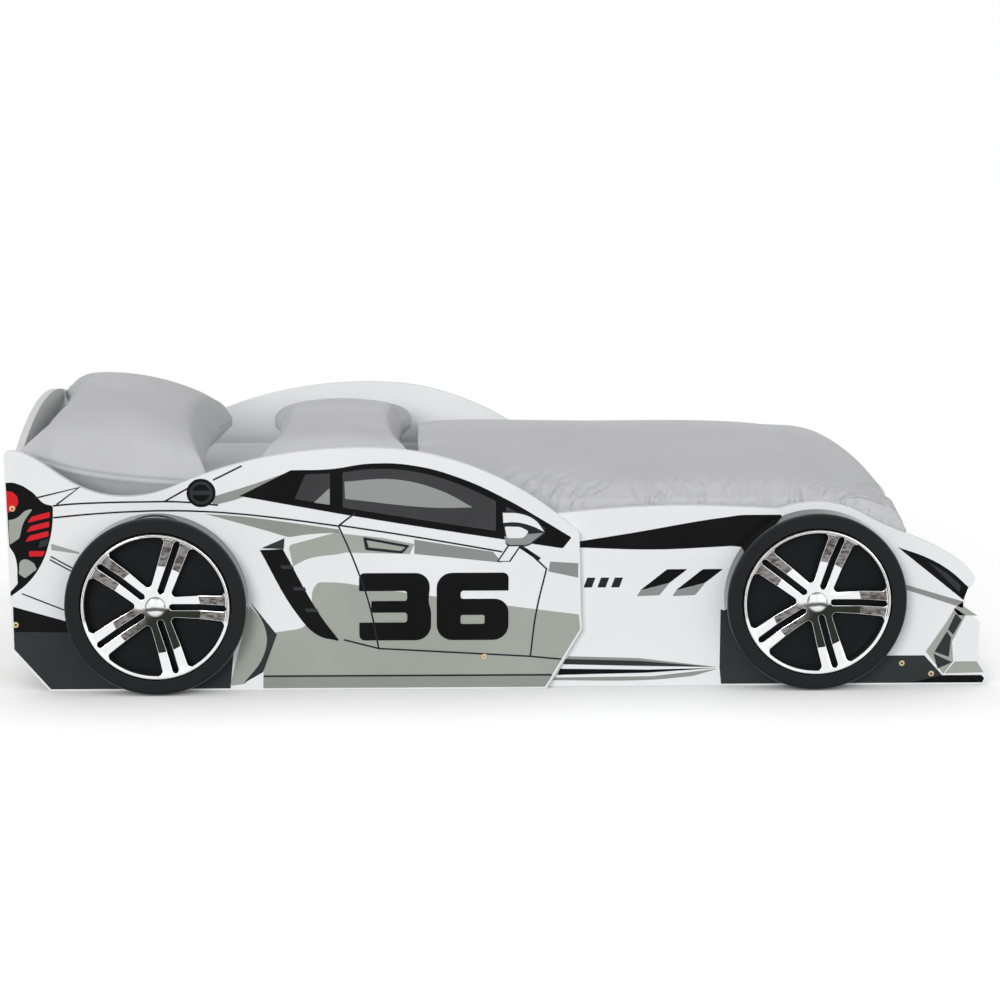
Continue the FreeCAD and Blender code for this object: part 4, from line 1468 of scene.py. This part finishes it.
@dataclass
class Duvet:
    """The duvet over the front half of the bed, smooth on top and creased where it is tucked.

    The room that it fills is from low to high, and bed is the mattress's highest corner. hang is
    how far its sides drop beside the mattress, and wall how thick they are.
    """

    air: Air = Air(voxel=0.0105, pressure=3, cap=0.006)
    gathers: tuple[Gather, ...] = (
        Gather(0.08, 11, 0.75, 0.13), Gather(0.46, 7, -0.2, 0.07), Gather(0.66, 9, 0.35, 0.09)
    )
    seed: int = 7
    fill: float = 0.5
    roll: float = 0.015
    far_roll: float = 0.35
    foot: float = 0.015
    hang: float = 0.054
    wall: float = 0.018
    corner: float = 0.05
    cover: tuple[float, float, float] = (0.044, 0.106, 0.0155)
    rest: float = 0.0004
    skin_out: float = 0.003
    calm_rounds: int = 24
    slope: float = 0.57
    splay: float = 0.22
    blend: float = 0.004
    low: Vector = field(init=False)
    high: Vector = field(init=False)
    bed: Vector = field(init=False)

    def __post_init__(self) -> None:
        """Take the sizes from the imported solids."""
        self.low, self.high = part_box(Body.DUVET.value)
        self.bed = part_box(Body.MATTRESS.value)[1]

    def build(self) -> None:
        """Make the duvet."""
        bm = welded_copy(Body.DUVET.value)
        self.drape(bm)
        piece = self.air.swell("duvet_cover", bm)
        self.calm(piece)
        self.crease(piece)
        self.tuck(piece)
        self.lie(piece)
        mesh = piece.data
        bpy.data.objects.remove(piece)
        pad(Body.DUVET, mesh, TUCKED_COTTON)

    def drape(self, bm: bmesh.types.BMesh) -> None:
        """Thicken the drops beside the mattress and the cloth over its foot corners."""
        low, high, bed = self.low, self.high, self.bed
        # start, end and how far the top lies above the mattress
        spans = (low.x + 0.026, bed.x - 0.012, 0.002), (bed.x - 0.03, high.x - 0.006, -0.022)
        for side in (-1, 1):
            for start, end, top in spans:
                size = (end - start, self.wall, self.hang + top)
                out = side * (high.y - self.wall / 2)
                middle = Vector(((start + end) / 2, out, bed.z + (top - self.hang) / 2))
                form(bm, bmesh.ops.create_cube(bm, size=1), size, middle)
            ball = bmesh.ops.create_uvsphere(bm, u_segments=24, v_segments=12, radius=1)
            form(bm, ball, self.cover, Vector((bed.x - 0.03, side * (high.y - 0.102), bed.z - 0.009)))

    def calm(self, piece: bpy.types.Object) -> None:
        """Even out the cloth over the mattress's foot corners."""
        bm = bmesh.new()
        bm.from_mesh(piece.data)
        start = self.bed.x - 0.1
        loose = [
            v for v in bm.verts if v.co.x > start and abs(v.co.y) > 0.24 and v.normal.z > 0.05
        ]
        for _ in range(self.calm_rounds):
            bmesh.ops.smooth_vert(bm, verts=loose, factor=0.5, use_axis_z=True)
        bm.to_mesh(piece.data)
        bm.free()

    def crease(self, piece: bpy.types.Object) -> None:
        """Press creases in along both sides, round the foot corners and at the head end."""
        rows = rows_of(piece.data)
        out = rows_of(piece.data, "normal")
        chance = np.random.default_rng(self.seed)
        lift = ramp(out[:, 2], -0.1, 0.35)
        depth = np.zeros(len(rows))
        for side in (-1, 1):
            depth += self.side_creases(rows, side, chance)
            depth += self.corner_arcs(rows, side, chance)
            depth += self.head_creases(rows, side, chance)
        along, across = rows[:, 0], rows[:, 1]
        end = self.high.x
        inward = self.high.y - np.abs(across)
        roll = ramp(inward, 0.002, 0.06) * (1 - ramp(inward, 0.07, 0.34))
        roll = roll * (1 - ramp(along, end - 0.3, end - 0.1))
        high_roll = np.where(across < 0, self.roll, self.roll * self.far_roll)
        rows[:, 2] += high_roll * roll * ramp(out[:, 2], 0.1, 0.5)
        foot = ramp(along, end - 0.24, end - 0.1) * (1 - ramp(along, end - 0.04, end))
        rows[:, 2] += self.foot * foot * ramp(out[:, 2], 0.05, 0.4)
        waves = np.sin(along * 9 + 1.3 * np.sin(across * 6)) * np.sin(across * 8 + along * 3)
        depth += 0.0015 * waves * lift
        rows += out * (depth * lift)[:, None]
        limit = self.high.y + 0.001
        rows[:, 1] = np.clip(rows[:, 1], -limit, limit)
        put_rows(piece.data, rows)

    def side_creases(self, rows: np.ndarray, side: int, chance: np.random.Generator) -> np.ndarray:
        """How far out the creases of one side move each point.

        Args:
            rows: The duvet's points.
            side: -1 for the right side and 1 for the left.
            chance: The source of the random draws.

        Returns:
            The relief, one number for each point.
        """
        depth = np.zeros(len(rows))
        span = self.high.x - self.low.x
        hem = side * (self.high.y - 0.004)
        for gather in self.gathers:
            for step in range(gather.count):
                place = 0.2 * (step + chance.uniform(-0.4, 0.4)) / gather.count
                x = self.low.x + span * (gather.start + place)
                long = gather.reach * chance.uniform(0.6, 1.1)
                bend = chance.uniform(-0.012, 0.012)
                halfway = (x + gather.lean * long * 0.5 + bend, hem - side * long * 0.55)
                path = (x, hem), halfway, (x + gather.lean * long, hem - side * long)
                gap, share = away(rows, path)
                strength = chance.uniform(0.0026, 0.0052) * (1 - ramp(share, 0.35, 1))
                wide = chance.uniform(0.0055, 0.009)
                depth -= strength * bell(gap, 0, wide)
                depth += 0.5 * strength * bell(gap, 2 * wide, wide)
        return depth

    def corner_arcs(self, rows: np.ndarray, side: int, chance: np.random.Generator) -> np.ndarray:
        """The relief of the arcs round one foot corner, given as side_creases is."""
        depth = np.zeros(len(rows))
        hem = side * (self.high.y - 0.002)
        for step in range(12):
            start = self.high.x - 0.21 + 0.012 * step
            swing = 0.03 + 0.012 * step
            path = [
                (start + 0.09 * t + 0.02 * t * t, hem - side * swing * (t ** 1.6) * 2.2)
                for t in (0, 0.25, 0.5, 0.75, 1)
            ]
            gap, share = away(rows, path)
            fade = np.sin(np.pi * np.clip(share * 0.85 + 0.12, 0, 1))
            depth -= chance.uniform(0.0022, 0.0042) * fade * bell(gap, 0, 0.0058)
        return depth

    def head_creases(self, rows: np.ndarray, side: int, chance: np.random.Generator) -> np.ndarray:
        """The relief of the creases at the head end of one side, given as side_creases is."""
        depth = np.zeros(len(rows))
        low = self.low.x
        for step in range(7):
            start = side * (self.high.y - 0.05 - 0.055 * step * chance.uniform(0.8, 1.2))
            end = start - side * 0.04
            path = (low - 0.002, start), (low + 0.05, start - side * 0.012), (low + 0.12, end)
            gap, share = away(rows, path)
            depth -= chance.uniform(0.002, 0.005) * (1 - ramp(share, 0.2, 1)) * bell(gap, 0, 0.01)
        return depth

    def tuck(self, piece: bpy.types.Object) -> None:
        """Round the foot corners in plan, and draw them back as they rise."""
        rows = rows_of(piece.data)
        middle_x, middle_y = self.high.x - self.corner, self.high.y + 0.001 - self.corner
        out_x, out_y = rows[:, 0] - middle_x, np.abs(rows[:, 1]) - middle_y
        share = self.corner / np.maximum(np.hypot(out_x, out_y), self.corner)
        turned = (out_x > 0) & (out_y > 0)
        rows[:, 0] = np.where(turned, middle_x + out_x * share, rows[:, 0])
        aside = np.copysign(middle_y + out_y * share, rows[:, 1])
        rows[:, 1] = np.where(turned, aside, rows[:, 1])
        across = np.abs(rows[:, 1])
        rise = np.maximum(rows[:, 2] - self.bed.z + 0.0525, 0)
        end = self.high.x - 0.009 - self.slope * rise + self.splay * (self.bed.y - 0.02 - across)
        trim = self.blend * np.logaddexp(0, (rows[:, 0] - end) / self.blend)
        rows[:, 0] -= trim * ramp(across, 0.28, 0.36)
        put_rows(piece.data, rows)

    def lie(self, piece: bpy.types.Object) -> None:
        """Lay the duvet on the mattress: what would sink in lies on its top or against its sides,
        and the outer skin of the drops stays outside its piping."""
        rows = rows_of(piece.data)
        bed, corner, edge = self.bed, Mattress.corner, Mattress.edge
        outward = rows_of(piece.data, "normal")[:, 1] * np.sign(rows[:, 1])
        across = np.abs(rows[:, 1])
        skin = (outward > 0.2) & (across > bed.y - 0.014) & (rows[:, 2] < bed.z)
        wide = np.copysign(np.maximum(across, bed.y + self.skin_out), rows[:, 1])
        rows[:, 1] = np.where(skin, wide, rows[:, 1])
        round_x, round_y = bed.x - corner, bed.y - corner
        along = np.maximum(rows[:, 0] - round_x, 0)
        aside = np.maximum(np.abs(rows[:, 1]) - round_y, 0)
        up = np.clip(rows[:, 2] - bed.z + edge, 0, edge)
        wall = corner + self.rest - edge + np.sqrt(edge**2 - up**2)
        far = np.hypot(along, aside)
        down = bed.z + self.rest - rows[:, 2]
        inside = (down > 0) & (far < wall)
        rows[:, 2] = np.where(inside & (down <= wall - far), bed.z + self.rest, rows[:, 2])
        pushed = inside & (down > wall - far) & (far > 0.001)
        push = np.where(pushed, wall / np.maximum(far, 0.001), 1)
        rows[:, 0] = np.where(along > 0, round_x + along * push, rows[:, 0])
        beside = np.copysign(round_y + aside * push, rows[:, 1])
        rows[:, 1] = np.where(aside > 0, beside, rows[:, 1])
        put_rows(piece.data, rows)


# ---------------------------------------------------------------- the studio


@dataclass(frozen=True)
class SoftLamp:
    """A far, wide lamp that lights the whole floor evenly; its angles are in degrees."""

    name: str
    turn: float
    height: float
    spread: float
    power: float

    def hang(self) -> None:
        """Put the lamp in the scene."""
        lamp = bpy.data.lights.new(self.name, "SUN")
        lamp.angle = math.radians(self.spread)
        lamp.energy = self.power
        holder = bpy.data.objects.new(self.name, lamp)
        turn, height = math.radians(self.turn), math.radians(self.height)
        level = math.cos(height)
        back = Vector((math.sin(turn) * level, -math.cos(turn) * level, math.sin(height)))
        holder.rotation_euler = (-back).to_track_quat("-Z", "Y").to_euler()
        bpy.context.scene.collection.objects.link(holder)


@dataclass
class Studio:
    """A plain pale floor, soft light and the camera, whose angles are in degrees."""

    floor_half: float = 30
    floor_drop: float = 0.0006
    floor_colour: Colour = (0.56, 0.56, 0.56)
    floor_glow: float = 0.64
    shadow_reach: float = 0.3
    sky: float = 0.42
    lens: float = 81.649
    eye: tuple[float, float, float] = (-0.2049, -5.2842, 1.3912)
    yaw: float = 1.098
    pitch: float = -8.923
    shift: tuple[float, float] = (0.05, -0.1)

    def build(self) -> None:
        """Set the stage."""
        self.floor()
        self.world()
        SoftLamp("lamp_key", turn=-25, height=22, spread=30, power=1.6).hang()
        SoftLamp("lamp_fill", turn=45, height=16, spread=60, power=0.8).hang()
        self.camera()

    def floor(self) -> None:
        """Lay the floor, which shows white but keeps the bed's shadow."""
        bm = bmesh.new()
        bmesh.ops.create_grid(bm, x_segments=1, y_segments=1, size=self.floor_half)
        bmesh.ops.translate(bm, vec=(0, 0, -self.floor_drop), verts=bm.verts)
        mesh = to_mesh("studio_floor", bm)
        sheet = ShaderSheet(bpy.data.materials.new("studio_floor"))
        plain = sheet.node("BsdfDiffuse", {"Color": opaque(self.floor_colour)})
        reach = {"Distance": self.shadow_reach}
        # the glow dims near the bed by ambient occlusion: a painted contact shadow, added to the real shadow
        # on the floor's diffuse part
        glow = sheet.node("AmbientOcclusion", reach, output="AO", samples=8) * self.floor_glow
        glow = sheet.node("Emission", {"Color": opaque((1, 1, 1)), "Strength": glow})
        lit = sheet.node("AddShader", {0: plain, 1: glow})
        sheet.show(sheet.node("MixShader", {0: self.seen(sheet), 1: plain, 2: lit}))
        mesh.materials.append(sheet.owner)
        floor = bpy.data.objects.new("studio_floor", mesh)
        bpy.context.scene.collection.objects.link(floor)

    def seen(self, sheet: ShaderSheet) -> Wire:
        """One for camera, glossy and transmission rays."""
        path = sheet.node("LightPath").socket.node
        kinds = ("Camera", "Glossy", "Transmission")
        camera, glossy, through = (Wire(sheet, path.outputs[f"Is {kind} Ray"]) for kind in kinds)
        return camera.most(glossy).most(through)

    def world(self) -> None:
        """A white surround that lights at a plain level."""
        world = bpy.data.worlds.new("studio_world")
        bpy.context.scene.world = world
        sheet = ShaderSheet(world)
        strength = self.seen(sheet) * (1 - self.sky) + self.sky
        sheet.show(sheet.node("Background", {"Color": opaque((1, 1, 1)), "Strength": strength}))

    def camera(self) -> None:
        """Set the camera at the photograph's angle."""
        data = bpy.data.cameras.new("camera")
        data.lens = self.lens
        data.sensor_width = 36
        data.shift_x, data.shift_y = self.shift
        data.clip_end = 200
        camera = bpy.data.objects.new("camera", data)
        camera.location = self.eye
        camera.rotation_euler = (math.radians(90 + self.pitch), 0, -math.radians(self.yaw))
        bpy.context.scene.collection.objects.link(camera)
        bpy.context.scene.camera = camera
        bpy.context.scene.view_settings.view_transform = "Standard"


# ---------------------------------------------------------------- the bed


def main() -> None:
    """Build the classes in order."""
    logging.basicConfig(level=logging.INFO, format="%(name)s: %(message)s")
    Studio().build()
    Bedstead().build()
    WheelSet().build()
    SidePrint().build()
    Mattress().build()
    Pillow(Body.PILLOW_HEAD, tilt=11.5, lean=2.2, slack=0.026).build()
    Pillow(Body.PILLOW_SIDE).build()
    Duvet().build()


if __name__ == "__main__":
    main()
